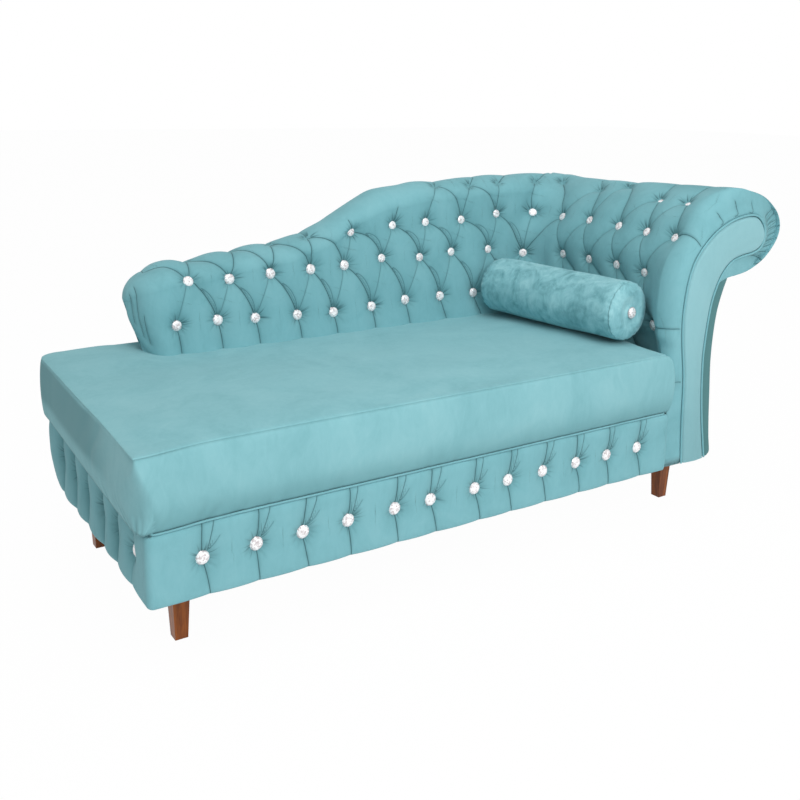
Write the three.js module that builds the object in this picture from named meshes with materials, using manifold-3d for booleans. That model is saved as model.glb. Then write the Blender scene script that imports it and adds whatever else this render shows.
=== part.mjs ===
// A fainting couch with a diamond-tufted back, one scroll arm, a tufted base band and a loose bolster.
// Millimetres. X runs from the low left end to the scroll arm, Y from front to back, Z up from the floor.
import * as THREE from 'three';
import Module from 'manifold-3d';
import { mergeVertices } from 'three/addons/utils/BufferGeometryUtils.js';

const wasm = await Module();
wasm.setup();

// Overall sizes
const BASE_LENGTH = 1584;
const BASE_DEPTH = 776;
const LEG_HEIGHT = 142;
const BAND_HEIGHT = 166;
const SEAT_EDGE_HEIGHT = 145;
const BACK_LOW_HEIGHT = 216;
const BACK_HIGH_HEIGHT = 404;
const ARM_FOOT = 179;
const ARM_REACH = 403;
const ARM_RISE = 741;

// Clearances
const GAP = 0.3;
const WELD = 0.0001;
const OVERRUN = 30;

// Frame timber
const RAIL_THICKNESS = 25;
const BLOCK_WIDTH = 84;
const BLOCK_RIGHT_WIDTH = 74;
const BLOCK_HEIGHT = 110;
const DUST_COVER_THICKNESS = 2;
const DECK_THICKNESS = 9;
const SLAT_WIDTH = 60;
const SLAT_THICKNESS = 20;
const SLAT_COUNT = 4;
const FRAME_ARM_CLEARANCE = 28.155;
const BOARD_THICKNESS = 18;
const REAR_CLOTH_THICKNESS = 8;

// Legs and their bolts
const LEG_TOP_WIDTH = 41;
const LEG_FOOT_WIDTH = 28;
const LEG_FRONT_INSET = 111;
const LEG_REAR_INSET = 165;
const LEG_LEFT_FRONT_INSET = 93;
const LEG_LEFT_REAR_INSET = 72;
const LEG_RIGHT_INSET = 14;
const BOLT_RADIUS = 4;
const BOLT_IN_LEG = 45;
const BOLT_IN_BLOCK = 60;
const BOLT_SIDES = 12;

// Base band
const BAND_PAD = 32;
const BAND_SWELL = 8;
const BAND_OUT = 6;
const BAND_TUFT_DEPTH = 12;
const BAND_PLEAT_DEPTH = 7;
const BAND_FIRST_BUTTON = 108;
const BAND_PITCH = 108.4;

// Crystal buttons
const BUTTON_RADIUS = 14;
const BUTTON_HEIGHT = 9;
const BUTTON_SIDES = 8;
const BUTTON_MARGIN = 2;

// Seat
const SEAT_OVERHANG_LEFT = 18;
const SEAT_OVERHANG_FRONT = 8;
const SEAT_SWELL = 9;
const SEAT_EDGE_ROUND = 9;
const SEAT_CROWN = 15;
const SEAT_FALL = 120;
const SEAT_REAR_FALL = 40;
const SEAT_CORNER_RADIUS = 32;
const SEAT_COLUMNS = 22;
const SEAT_ROWS = 10;

// Back
const BACK_LEFT_X = 180;
const BACK_DEPTH = 175;
const BACK_LEAN = 45;
const BACK_END_ROUND = 100;
const BACK_CREST_ROUND = 60;
const BACK_FIRST_BUTTON = 287;
const BACK_PITCH = 115.5;
const BACK_TUFT_DEPTH = 24;
const CREST_STEPS = 8;
const BACK_BOARD_LEFT = 275;
const BACK_BOARD_DROP = 72;
const BACK_BOARD_FOOT = 180;
const BACK_BOARD_STEPS = 28;
const CORNER_FILLET = 58;
const FAN_LENGTH = 340;

// Arm
const ARM_SETBACK = 49;
const SETBACK_START = 30;
const SETBACK_END = 110;
const SETBACK_REAR_REACH = 100;
const SETBACK_REAR_INSET = 36;
const ARM_CREST_FALL = 19;
const ARM_CREST_REAR_RISE = 9;
const ARM_CREST_FALL_INSET = 176;
const ARM_PITCH = 112;
const ARM_FIRST_BUTTON = 96;
const ARM_TUFT_DEPTH = 20;
const PANEL_THICKNESS = 14;
const PANEL_BEVEL = 5;
const WELT_RADIUS = 3.5;
const WELT_SIDES = 6;
const OUTSIDE_STEPS = 14;
const ARM_RAIL_WIDTH = 25;
const ARM_RAIL_HEIGHT = 40;
const ARM_TOP_RAIL_HEIGHT = 28;
const ARM_WAIST_CLEARANCE = 3;

// Bolster
const BOLSTER_RADIUS = 80;
const BOLSTER_BACK_CLEARANCE = 6;
const BOLSTER_ARM_INSET = 49;
const BOLSTER_FRONT_Y = 113;
const BOLSTER_TURN_SHARE = 0.09;
const BOLSTER_CAP = 16;
const BOLSTER_DIMPLE = 4;
const BOLSTER_SIDES = 24;

// Levels and planes that the pieces share
const bandTop = LEG_HEIGHT + BAND_HEIGHT;
const seatBottom = bandTop + GAP;
const seatEdgeTop = bandTop + SEAT_EDGE_HEIGHT;
const seatTop = seatEdgeTop + SEAT_CROWN;
const frameBottom = LEG_HEIGHT + DUST_COVER_THICKNESS + GAP;
const deckBottom = bandTop - DECK_THICKNESS;
const railTop = deckBottom - GAP;
const frameFront = BAND_PAD + GAP;
const clothFront = BASE_DEPTH - REAR_CLOTH_THICKNESS;
const boardRear = clothFront - GAP;
const boardFront = boardRear - BOARD_THICKNESS;
const frameRear = boardFront - GAP;
const armLeft = BASE_LENGTH - ARM_FOOT;
const armBottom = LEG_HEIGHT;
const backFaceY = BASE_DEPTH - BACK_DEPTH;
const setbackRearEnd = BASE_DEPTH - SETBACK_REAR_INSET;
const setbackRearStart = setbackRearEnd - SETBACK_REAR_REACH;
const crestFallEnd = BASE_DEPTH - ARM_CREST_FALL_INSET;
const bolsterLength = backFaceY - BOLSTER_FRONT_Y - BOLSTER_BACK_CLEARANCE;
const weltClearance = WELT_RADIUS + GAP;

// Outlines of the arm, seen from the front: shares of its reach from the inner foot and of its rise
const panelShares = [
  [0.176, 0], [0.154, 0.159], [0.141, 0.321], [0.104, 0.456], [0.092, 0.537], [0.097, 0.605],
  [0.119, 0.679], [0.161, 0.742], [0.233, 0.792], [0.323, 0.834], [0.422, 0.864], [0.533, 0.884],
  [0.653, 0.893], [0.744, 0.887], [0.806, 0.857], [0.826, 0.818], [0.801, 0.78], [0.732, 0.761],
  [0.62, 0.752], [0.521, 0.737], [0.447, 0.706], [0.39, 0.663], [0.342, 0.598], [0.318, 0.524],
  [0.305, 0.456], [0.298, 0.382], [0.31, 0.267], [0.337, 0.146], [0.385, 0],
];
const faceShares = [
  [0.002, 0.2], [0.002, 0.3], [0.002, 0.42], [-0.005, 0.447], [-0.03, 0.48], [-0.042, 0.53], [-0.04, 0.605],
  [-0.025, 0.679], [0.01, 0.733], [0.057, 0.777], [0.141, 0.842], [0.233, 0.908], [0.34, 0.961],
  [0.469, 0.993], [0.52, 1],
];
const rollShares = [
  [0.52, 1], [0.6, 0.995], [0.665, 0.984], [0.804, 0.96], [0.903, 0.928], [0.968, 0.893], [1, 0.85],
  [0.988, 0.804], [0.93, 0.76], [0.826, 0.717], [0.712, 0.692], [0.583, 0.679], [0.499, 0.675],
];
const coreShares = [
  [0.352, 0.675], [0.385, 0.71], [0.459, 0.753], [0.583, 0.775], [0.707, 0.783], [0.765, 0.805],
  [0.765, 0.835], [0.72, 0.855], [0.633, 0.861], [0.509, 0.85], [0.397, 0.82], [0.31, 0.775],
  [0.256, 0.72], [0.226, 0.65], [0.213, 0.56], [0.211, 0.2],
];
const outsideShares = [
  [0.444, 0], [0.417, 0.132], [0.4, 0.254], [0.385, 0.368], [0.39, 0.47], [0.409, 0.553],
  [0.444, 0.617], [0.484, 0.667],
];
const armRails = [
  { name: 'arm_seat_rail', share: [0.249, 0.305], height: ARM_RAIL_HEIGHT },
  { name: 'arm_waist_rail', share: [0.262, 0.591], height: ARM_RAIL_HEIGHT },
  { name: 'arm_scroll_rail', share: [0.489, 0.803], height: ARM_TOP_RAIL_HEIGHT },
  { name: 'arm_tip_rail', share: [0.675, 0.82], height: ARM_TOP_RAIL_HEIGHT },
];
const outsideTopShare = 0.67;
const setbackShares = [0.62, 0.91];
const armRowShares = [0.5, 0.683, 0.823, 0.933];

// The crest's line: shares of the back's length, and of the way from the low to the high crest
const crestShares = [
  [0, 0], [0.1, 0], [0.15, 0], [0.19, 0.05], [0.255, 0.12], [0.33, 0.175], [0.37, 0.235], [0.442, 0.4],
  [0.475, 0.51], [0.509, 0.633], [0.535, 0.723], [0.57, 0.835], [0.6, 0.872], [0.645, 0.9], [0.69, 0.935],
  [0.775, 0.945], [0.877, 0.995], [0.96, 0.995], [1.1, 1],
];
// The rows of buttons: heights up the back, and how far each row leans from an even diamond, in pitches
const backRowShares = [0.16, 0.45, 0.695];
const rowLeanShares = [0, -0.2, -0.45];
const tallShares = [0.4, 0.51];
const foldDepthShare = 0.62;
const crestDepthShare = 0.4;
const fullnessShare = 0.5;
const endCentreShare = 0.6;
const leadShares = [0.02, 0.09, 0.25];
const pleatSpreadShare = 1.5;
// Turned outlines, from the middle out: shares of a radius and of a height
const buttonShares = [[0.8, 0], [1, 0.333], [0.62, 0.85], [0, 1]];
const capShares = [[0.4, 0], [0.7, 0.12], [0.88, 0.4], [0.98, 0.75], [0.94, 1], [0, 1]];
// The seat's side, from its top edge down: shares of the edge's round and of the side's height
const seatRimShares = [0.7, 0.3];
const seatSideShares = [0.66, 0.33];

const { lerp, clamp, smoothstep } = THREE.MathUtils;
const couch = new THREE.Group();

function finish(color, roughness, metalness = 0) {
  return new THREE.MeshStandardMaterial({ color, roughness, metalness });
}
const velvet = () => finish(0x76b4bc, 0.85);
const timber = () => finish(0xc9a878, 0.7);
const varnish = () => finish(0x6f3220, 0.35);
const steel = () => finish(0x9a9da0, 0.4, 1);
const crystal = () => finish(0xe9edf2, 0.08, 0.2);
const lining = () => finish(0x2c3133, 0.95);

function add(name, geometry, material) {
  const mesh = new THREE.Mesh(geometry, material);
  mesh.name = name;
  couch.add(mesh);
  return mesh;
}

// A smooth line through hand-chosen shares of a width and a height, with as many steps between two of them
function smoothLine(shares, originX, width, originZ, height, steps) {
  const points = shares.map(([x, z]) => new THREE.Vector2(originX + x * width, originZ + z * height));
  return new THREE.SplineCurve(points).getPoints((points.length - 1) * steps);
}
const armLine = (shares, steps) => smoothLine(shares, armLeft, ARM_REACH, armBottom, ARM_RISE, steps);

// The x of a line at height z, where the line climbs steadily
function xAt(line, z) {
  const ups = line[line.length - 1].y > line[0].y ? line : [...line].reverse();
  const next = ups.findIndex((point) => point.y >= z);
  if (next < 0) return ups[ups.length - 1].x;
  if (next === 0) return ups[0].x;
  const low = ups[next - 1];
  const high = ups[next];
  return lerp(low.x, high.x, (z - low.y) / (high.y - low.y));
}

// An outline moved outwards by a distance, corner by corner
function grown(outline, distance) {
  const turn = Math.sign(THREE.ShapeUtils.area(outline));
  return outline.map((point, i) => {
    const before = outline[(i + outline.length - 1) % outline.length];
    const after = outline[(i + 1) % outline.length];
    const arrive = point.clone().sub(before).normalize();
    const leave = after.clone().sub(point).normalize();
    const out = new THREE.Vector2(arrive.y + leave.y, -arrive.x - leave.x).normalize();
    const spread = out.x * arrive.y - out.y * arrive.x;
    return point.clone().addScaledVector(out, turn * distance / spread);
  });
}

// The panel's outline grown by a distance, with its two feet brought level and carried down by a drop
function panelOutline(distance, drop) {
  const outline = grown(panelLine, distance);
  const ends = [outline[0], outline[outline.length - 1]];
  for (const end of ends) end.y = armBottom;
  if (!drop) return outline;
  const [first, last] = ends.map((end) => new THREE.Vector2(end.x, armBottom - drop));
  return [first, ...outline, last];
}

// A path that steps through its points, so that a tube along it turns just where its neighbours do
class PointPath extends THREE.Curve {
  constructor(points) {
    super();
    this.points = points;
  }

  getPoint(t) {
    const place = clamp(t, 0, 1) * (this.points.length - 1);
    const low = Math.min(Math.floor(place), this.points.length - 2);
    return this.points[low].clone().lerp(this.points[low + 1], place - low);
  }

  getPointAt(u) {
    return this.getPoint(u);
  }

  getTangentAt(u) {
    return this.getTangent(u);
  }
}

function signedVolume(points, faces) {
  const across = new THREE.Vector3();
  return faces.reduce((sum, [a, b, c]) => sum + across.crossVectors(points[a], points[b]).dot(points[c]), 0);
}

function bodyFrom(points, faces) {
  const outward = signedVolume(points, faces) > 0 ? faces : faces.map(([a, b, c]) => [a, c, b]);
  const geometry = new THREE.BufferGeometry();
  geometry.setAttribute('position', new THREE.Float32BufferAttribute(points.flatMap((p) => p.toArray()), 3));
  geometry.setIndex(outward.flat());
  geometry.computeVertexNormals();
  return geometry;
}

// Triangles over a flat ring, in the ring's own order or against it. Each point is nudged by a hair while
// the triangles are chosen, so that straight runs keep all their points.
function capFaces(ring, start, forward) {
  const flat = ring.map((p, i) => new THREE.Vector2(p.x + WELD * Math.cos(i), p.y + WELD * Math.sin(i)));
  const turn = Math.sign(THREE.ShapeUtils.area(flat));
  return THREE.ShapeUtils.triangulateShape(flat, []).map(([a, b, c]) => {
    const same = Math.sign(THREE.ShapeUtils.area([flat[a], flat[b], flat[c]])) === turn;
    return same === forward ? [start + a, start + b, start + c] : [start + a, start + c, start + b];
  });
}

function middleOf(points) {
  return points.reduce((sum, point) => sum.add(point), new THREE.Vector3()).divideScalar(points.length);
}

// One closed body through rings of equal length, with its two ends capped. Each four-sided patch folds along
// the diagonal that lies deeper, so that creases stay sharp.
function loft(rings, flatten) {
  const size = rings[0].length;
  const faces = [];
  for (let i = 0; i + 1 < rings.length; i += 1) {
    const centre = middleOf([...rings[i], ...rings[i + 1]]);
    for (let j = 0; j < size; j += 1) {
      const k = (j + 1) % size;
      const here = i * size + j;
      const beside = i * size + k;
      const over = here + size;
      const across = beside + size;
      const straight = middleOf([rings[i][j], rings[i + 1][k]]).distanceTo(centre);
      const crossed = middleOf([rings[i][k], rings[i + 1][j]]).distanceTo(centre);
      if (straight < crossed) faces.push([here, beside, across], [here, across, over]);
      else faces.push([here, beside, over], [beside, across, over]);
    }
  }
  const last = (rings.length - 1) * size;
  faces.push(...capFaces(rings[0].map(flatten), 0, false));
  faces.push(...capFaces(rings[rings.length - 1].map(flatten), last, true));
  return bodyFrom(rings.flat(), faces);
}

// A cushion: a grid of points for its top, rows that run out and down round its edge, and a flat bottom
function cushion(top, columns, rows, skirt) {
  const points = [];
  for (let j = 0; j <= rows; j += 1) {
    for (let i = 0; i <= columns; i += 1) points.push(top(i / columns, j / rows));
  }
  const at = (i, j) => j * (columns + 1) + i;
  const faces = [];
  for (let j = 0; j < rows; j += 1) {
    for (let i = 0; i < columns; i += 1) {
      faces.push([at(i, j), at(i + 1, j), at(i + 1, j + 1)], [at(i, j), at(i + 1, j + 1), at(i, j + 1)]);
    }
  }
  const loop = [];
  for (let i = 0; i < columns; i += 1) loop.push(at(i, 0));
  for (let j = 0; j < rows; j += 1) loop.push(at(columns, j));
  for (let i = columns; i > 0; i -= 1) loop.push(at(i, rows));
  for (let j = rows; j > 0; j -= 1) loop.push(at(0, j));
  let ring = loop;
  for (const row of skirt) {
    const next = loop.map((index, k) => {
      const before = points[loop[(k + loop.length - 1) % loop.length]];
      const after = points[loop[(k + 1) % loop.length]];
      points.push(row(points[index], new THREE.Vector2(after.y - before.y, before.x - after.x).normalize()));
      return points.length - 1;
    });
    ring.forEach((index, k) => {
      const beside = (k + 1) % ring.length;
      faces.push([index, next[k], next[beside]], [index, next[beside], ring[beside]]);
    });
    ring = next;
  }
  const flat = ring.map((index) => new THREE.Vector2(points[index].x, points[index].y));
  faces.push(...capFaces(flat, ring[0], false));
  return bodyFrom(points, faces);
}

function solidOf(geometry) {
  const bare = geometry.clone();
  bare.deleteAttribute('normal');
  bare.deleteAttribute('uv');
  const merged = mergeVertices(bare, WELD);
  const triVerts = new Uint32Array(merged.index.array);
  const vertProperties = new Float32Array(merged.attributes.position.array);
  return new wasm.Manifold(new wasm.Mesh({ numProp: 3, vertProperties, triVerts }));
}

function cut(geometry, ...tools) {
  const left = tools.reduce((solid, tool) => solid.subtract(solidOf(tool)), solidOf(geometry));
  const { vertProperties, triVerts } = left.getMesh();
  const result = new THREE.BufferGeometry();
  result.setAttribute('position', new THREE.BufferAttribute(vertProperties, 3));
  result.setIndex(new THREE.BufferAttribute(triVerts, 1));
  result.computeVertexNormals();
  return result;
}

// A box between two opposite corners
function boxBetween(x0, y0, z0, x1, y1, z1) {
  const geometry = new THREE.BoxGeometry(x1 - x0, y1 - y0, z1 - z0);
  return geometry.translate((x0 + x1) / 2, (y0 + y1) / 2, (z0 + z1) / 2);
}

// A board whose outline is drawn in x and z, standing between two depths
function board(outline, y0, y1, options = {}) {
  const shape = new THREE.Shape(outline);
  const depth = y1 - y0 - 2 * (options.bevelThickness ?? 0);
  const geometry = new THREE.ExtrudeGeometry(shape, { depth, bevelEnabled: false, steps: 1, ...options });
  return geometry.rotateX(Math.PI / 2).translate(0, y1 - (options.bevelThickness ?? 0), 0);
}

// A round bar that stands upright
function upright(radius, z0, z1, x, y, sides) {
  const geometry = new THREE.CylinderGeometry(radius, radius, z1 - z0, sides);
  return geometry.rotateX(Math.PI / 2).translate(x, y, (z0 + z1) / 2);
}

// How deep diamond tufting lies at a column and a row, as a share of its full depth: 1 at a button
function diamondDepth(column, row) {
  const rising = column + row / 2;
  const falling = column - row / 2;
  const swell = Math.abs(Math.sin(Math.PI * rising) * Math.sin(Math.PI * falling)) ** fullnessShare;
  const pull = (Math.cos(Math.PI * rising) * Math.cos(Math.PI * falling)) ** 4;
  return foldDepthShare * (1 - swell) + (1 - foldDepthShare) * pull;
}

// How deep an upright pleat lies beside a column of buttons
function pleatDepth(column) {
  return foldDepthShare * (1 - Math.abs(Math.sin(Math.PI * column)) ** fullnessShare);
}

// Row number of a height, from the heights of the first rows of buttons
function rowAt(height, rowHeights) {
  const above = rowHeights.findIndex((level) => level > height);
  const next = above < 0 ? rowHeights.length - 1 : Math.max(above, 1);
  const low = rowHeights[next - 1];
  return next - 1 + (height - low) / (rowHeights[next] - low);
}
function heightAt(row, rowHeights) {
  const next = clamp(Math.ceil(row), 1, rowHeights.length - 1);
  return lerp(rowHeights[next - 1], rowHeights[next], row - next + 1);
}

// How far a stuffed strip stands out at a share of its width: nothing at the seams, all in the middle
function swellShare(share) {
  return Math.sqrt(Math.abs(Math.sin(Math.PI * share)));
}

// A faceted crystal button whose foot is at the origin and whose face looks along -Y
function crystalButton() {
  const outline = buttonShares.map(([r, h]) => new THREE.Vector2(BUTTON_RADIUS * r, -BUTTON_HEIGHT * h));
  return new THREE.LatheGeometry([...outline.reverse(), new THREE.Vector2(0, 0)], BUTTON_SIDES);
}

// The arm's inner face: its x at a height and a depth
const faceLine = armLine(faceShares, 6);
const rollLine = armLine(rollShares, 1);
const panelLine = armLine(panelShares, 2);
const coreLine = armLine(coreShares, 1);
const outsideLine = armLine(outsideShares, 4);
const armCrest = faceLine[faceLine.length - 1].y;
const setbackLow = armBottom + setbackShares[0] * ARM_RISE;
const setbackHigh = armBottom + setbackShares[1] * ARM_RISE;
function armFaceX(z, y) {
  const behindFront = smoothstep(y, SETBACK_START, SETBACK_END);
  const along = behindFront - smoothstep(y, setbackRearStart, setbackRearEnd);
  return xAt(faceLine, z) + ARM_SETBACK * along * (1 - smoothstep(z, setbackLow, setbackHigh));
}

// How much lower a point of the arm lies than at the front: the crest falls to the rear and then lifts into
// the back
function armDrop(z, y) {
  const fall = ARM_CREST_FALL * clamp((y - SETBACK_START) / (crestFallEnd - SETBACK_START), 0, 1);
  const lift = ARM_CREST_REAR_RISE * smoothstep(y, crestFallEnd, setbackRearEnd);
  return (fall - lift) * clamp((z - setbackLow) / (armCrest - setbackLow), 0, 1);
}

// The back's crest height at a place along it
const backRight = armFaceX(seatTop, backFaceY);
const backLength = backRight - BACK_LEFT_X;
const crestCurve = smoothLine(crestShares, BACK_LEFT_X, backLength, 0, 1, 8);
function crestZ(x) {
  const next = clamp(crestCurve.findIndex((point) => point.x >= x), 1, crestCurve.length - 1);
  const low = crestCurve[next - 1];
  const high = crestCurve[next];
  const share = lerp(low.y, high.y, clamp((x - low.x) / (high.x - low.x), 0, 1));
  return seatTop + lerp(BACK_LOW_HEIGHT, BACK_HIGH_HEIGHT, share);
}

// Base frame
const frameRight = panelLine[panelLine.length - 1].x - FRAME_ARM_CLEARANCE;
const blockRightLeft = frameRight - BLOCK_RIGHT_WIDTH;
const rightRailRight = blockRightLeft - GAP;
const rightRailLeft = rightRailRight - RAIL_THICKNESS;
const railInnerFront = frameFront + RAIL_THICKNESS;
const railInnerRear = frameRear - RAIL_THICKNESS;
const railInnerLeft = frameFront + RAIL_THICKNESS;
const sideFront = railInnerFront + GAP;
const sideRear = railInnerRear - GAP;

function addFrame() {
  const rail = (name, x0, y0, x1, y1) => {
    add(name, boxBetween(x0, y0, frameBottom, x1, y1, railTop), timber());
  };
  rail('front_rail', frameFront, frameFront, frameRight, railInnerFront);
  rail('rear_rail', frameFront, railInnerRear, frameRight, frameRear);
  rail('left_rail', frameFront, sideFront, railInnerLeft, sideRear);
  rail('right_rail', rightRailLeft, sideFront, rightRailRight, sideRear);
  const span = rightRailLeft - railInnerLeft;
  for (let i = 0; i < SLAT_COUNT; i += 1) {
    const middle = railInnerLeft + span * (i + 1) / (SLAT_COUNT + 1);
    const left = middle - SLAT_WIDTH / 2;
    const slat = boxBetween(left, sideFront, railTop - SLAT_THICKNESS, left + SLAT_WIDTH, sideRear, railTop);
    add(`deck_slat_${i + 1}`, slat, timber());
  }
  add('seat_deck', boxBetween(frameFront, frameFront, deckBottom, frameRight, frameRear, bandTop), timber());
}

// Legs, with the blocks and bolts that hold them
const legRightX = frameRight - LEG_RIGHT_INSET;
const legRearY = BASE_DEPTH - LEG_REAR_INSET;
const legPlaces = [
  { name: 'front_left', x: LEG_LEFT_FRONT_INSET, y: LEG_FRONT_INSET, left: true },
  { name: 'rear_left', x: LEG_LEFT_REAR_INSET, y: legRearY, left: true },
  { name: 'front_right', x: legRightX, y: LEG_FRONT_INSET, left: false },
  { name: 'rear_right', x: legRightX, y: legRearY, left: false },
];

function addLegs() {
  const legTop = frameBottom - GAP;
  const halfDiagonal = Math.SQRT1_2;
  for (const { name, x, y, left } of legPlaces) {
    const taper = new THREE.CylinderGeometry(
      LEG_TOP_WIDTH * halfDiagonal, LEG_FOOT_WIDTH * halfDiagonal, legTop, 4,
    );
    taper.rotateY(Math.PI / 4).rotateX(Math.PI / 2).translate(x, y, legTop / 2);
    const hole = upright(BOLT_RADIUS + GAP, legTop - BOLT_IN_LEG - GAP, legTop + OVERRUN, x, y, BOLT_SIDES);
    add(`leg_${name}`, cut(taper, hole), varnish());
    const blockLeft = left ? railInnerLeft + GAP : blockRightLeft;
    const blockRight = left ? blockLeft + BLOCK_WIDTH : frameRight;
    const [blockFront, blockRear] = [y - BLOCK_WIDTH / 2, y + BLOCK_WIDTH / 2];
    const blockTop = frameBottom + BLOCK_HEIGHT;
    const block = boxBetween(blockLeft, blockFront, frameBottom, blockRight, blockRear, blockTop);
    const socketTop = frameBottom + BOLT_IN_BLOCK + GAP;
    const socket = upright(BOLT_RADIUS + GAP, frameBottom - OVERRUN, socketTop, x, y, BOLT_SIDES);
    add(`leg_block_${name}`, cut(block, socket), timber());
    const bolt = upright(BOLT_RADIUS, legTop - BOLT_IN_LEG, frameBottom + BOLT_IN_BLOCK, x, y, BOLT_SIDES);
    add(`leg_bolt_${name}`, bolt, steel());
  }
}

function addDustCover() {
  const right = panelLine[0].x - weltClearance - GAP;
  const top = LEG_HEIGHT + DUST_COVER_THICKNESS;
  const sheet = boxBetween(frameFront, frameFront, LEG_HEIGHT, right, frameRear, top);
  const half = LEG_TOP_WIDTH / 2 + GAP;
  const holes = legPlaces.map(({ x, y }) => boxBetween(
    x - half, y - half, LEG_HEIGHT - OVERRUN, x + half, y + half, LEG_HEIGHT + OVERRUN,
  ));
  add('dust_cover', cut(sheet, ...holes), lining());
}

// A band pad along X with one row of buttons, its outer face looking along -Y
const bandMiddle = LEG_HEIGHT + BAND_HEIGHT / 2;
const buttonsIn = (end) => Math.floor((end - BAND_FIRST_BUTTON - 2 * BUTTON_RADIUS) / BAND_PITCH) + 1;
function bandPad(start, end, firstButton) {
  const count = buttonsIn(end);
  const seat = BUTTON_RADIUS + BUTTON_MARGIN;
  const stations = [start, start + seat];
  for (let i = 0; i < count; i += 1) {
    const middle = firstButton + i * BAND_PITCH;
    stations.push(middle - seat, middle, middle + seat, middle + BAND_PITCH / 2);
  }
  const inside = stations.filter((x) => x < end - seat);
  inside.push(end);
  const quarter = BAND_HEIGHT / 4;
  const levels = [
    LEG_HEIGHT, LEG_HEIGHT + quarter / 2, bandMiddle - quarter, bandMiddle - seat, bandMiddle,
    bandMiddle + seat, bandMiddle + quarter, bandTop - quarter / 2, bandTop,
  ];
  const rings = inside.map((x) => {
    const column = (x - firstButton) / BAND_PITCH;
    const nearest = clamp(Math.round(column), 0, count - 1);
    const across = Math.abs(column - nearest) * BAND_PITCH;
    const face = levels.map((z) => {
      const onSeat = across <= seat + GAP && Math.abs(z - bandMiddle) <= seat + GAP;
      const drawn = BAND_SWELL * (1 - swellShare((z - LEG_HEIGHT) / BAND_HEIGHT));
      const pleat = BAND_PLEAT_DEPTH * clamp(1 - across / (seat * pleatSpreadShare), 0, 1);
      const edge = x === start || x === end ? BAND_PLEAT_DEPTH : 0;
      const depth = onSeat ? BAND_TUFT_DEPTH : Math.min(drawn + pleat + edge, BAND_TUFT_DEPTH);
      return new THREE.Vector3(x, depth - BAND_OUT, z);
    });
    return [...face, new THREE.Vector3(x, BAND_PAD, bandTop), new THREE.Vector3(x, BAND_PAD, LEG_HEIGHT)];
  });
  return loft(rings, (p) => new THREE.Vector2(p.y, p.z));
}

function addBands() {
  const bandRight = armLeft - GAP;
  add('front_band_pad', bandPad(-BAND_OUT, bandRight, BAND_FIRST_BUTTON), velvet());
  const endStart = BAND_PAD + GAP;
  const endPad = bandPad(endStart, BASE_DEPTH, BAND_FIRST_BUTTON);
  endPad.scale(1, -1, 1).rotateZ(Math.PI / 2);
  endPad.index.array.reverse();
  endPad.computeVertexNormals();
  add('end_band_pad', endPad, velvet());
  for (let i = 0; i < buttonsIn(bandRight); i += 1) {
    const button = add(`band_crystal_${String(i + 1).padStart(2, '0')}`, crystalButton(), crystal());
    const y = BAND_TUFT_DEPTH - BAND_OUT - GAP;
    button.position.set(BAND_FIRST_BUTTON + i * BAND_PITCH, y, bandMiddle);
  }
}

// The seat: one crowned cushion that fills the base up to the arm and runs under the back
function seatRise(x, y) {
  const fromLeft = x + SEAT_OVERHANG_LEFT;
  const fromFront = y + SEAT_OVERHANG_FRONT;
  const fall = (distance, reach) => 1 - (1 - clamp(distance / reach, 0, 1)) ** 2;
  return fall(fromLeft, SEAT_FALL) * fall(fromFront, SEAT_FALL) * fall(BASE_DEPTH - y, SEAT_REAR_FALL);
}

function seatCushion() {
  const left = SEAT_SWELL - SEAT_OVERHANG_LEFT;
  const front = SEAT_SWELL - SEAT_OVERHANG_FRONT;
  const rear = BASE_DEPTH - SEAT_SWELL - SEAT_EDGE_ROUND;
  const radius = SEAT_CORNER_RADIUS;
  const middleY = (front + rear) / 2;
  const halfY = (rear - front) / 2;
  const top = (u, v) => {
    const y = lerp(front, rear, v);
    const right = armLeft + OVERRUN * 2;
    let x = lerp(left, right, u);
    let placedY = y;
    const overX = left + radius - x;
    const overY = Math.abs(y - middleY) - (halfY - radius);
    if (overX > 0 && overY > 0) {
      const shrink = Math.max(overX, overY) / Math.hypot(overX, overY);
      x = left + radius - overX * shrink;
      placedY = middleY + Math.sign(y - middleY) * (halfY - radius + overY * shrink);
    }
    return new THREE.Vector3(x, placedY, seatEdgeTop + SEAT_CROWN * seatRise(x, placedY));
  };
  const rim = SEAT_EDGE_ROUND;
  const side = seatEdgeTop - seatBottom - rim;
  const row = (out, z) => (point, normal) => {
    const width = normal.x > 0.5 ? 0 : out;
    return new THREE.Vector3(point.x + normal.x * width, point.y + normal.y * width, z);
  };
  return cushion(top, SEAT_COLUMNS, SEAT_ROWS, [
    row(rim * seatRimShares[0], seatEdgeTop - rim * seatRimShares[1]),
    row(rim, seatEdgeTop - rim),
    ...seatSideShares.map((share) => row(rim + SEAT_SWELL, seatBottom + side * share)),
    row(rim, seatBottom),
  ]);
}

// The back: front face, rolled crest and rear, as rings along its length
function backSection(x) {
  const crest = crestZ(x);
  const shoulder = crest - BACK_CREST_ROUND;
  const face = shoulder - seatTop - GAP;
  const faceTopY = backFaceY + BACK_LEAN * face / BACK_HIGH_HEIGHT;
  const half = (BASE_DEPTH - faceTopY) / 2;
  const arc = Math.PI * (half + BACK_CREST_ROUND) / 2;
  return { shoulder, face, faceTopY, half, arc, length: face + arc };
}

// How far a row of buttons leans along the back, given how tall the back is there
function leanAt(row, tall) {
  const above = clamp(Math.ceil(row), 1, rowLeanShares.length - 1);
  const shareOf = (index) => rowLeanShares[index] * (index === rowLeanShares.length - 1 ? tall : 1);
  return lerp(shareOf(above - 1), shareOf(above), clamp(row - above + 1, 0, 1));
}

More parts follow.
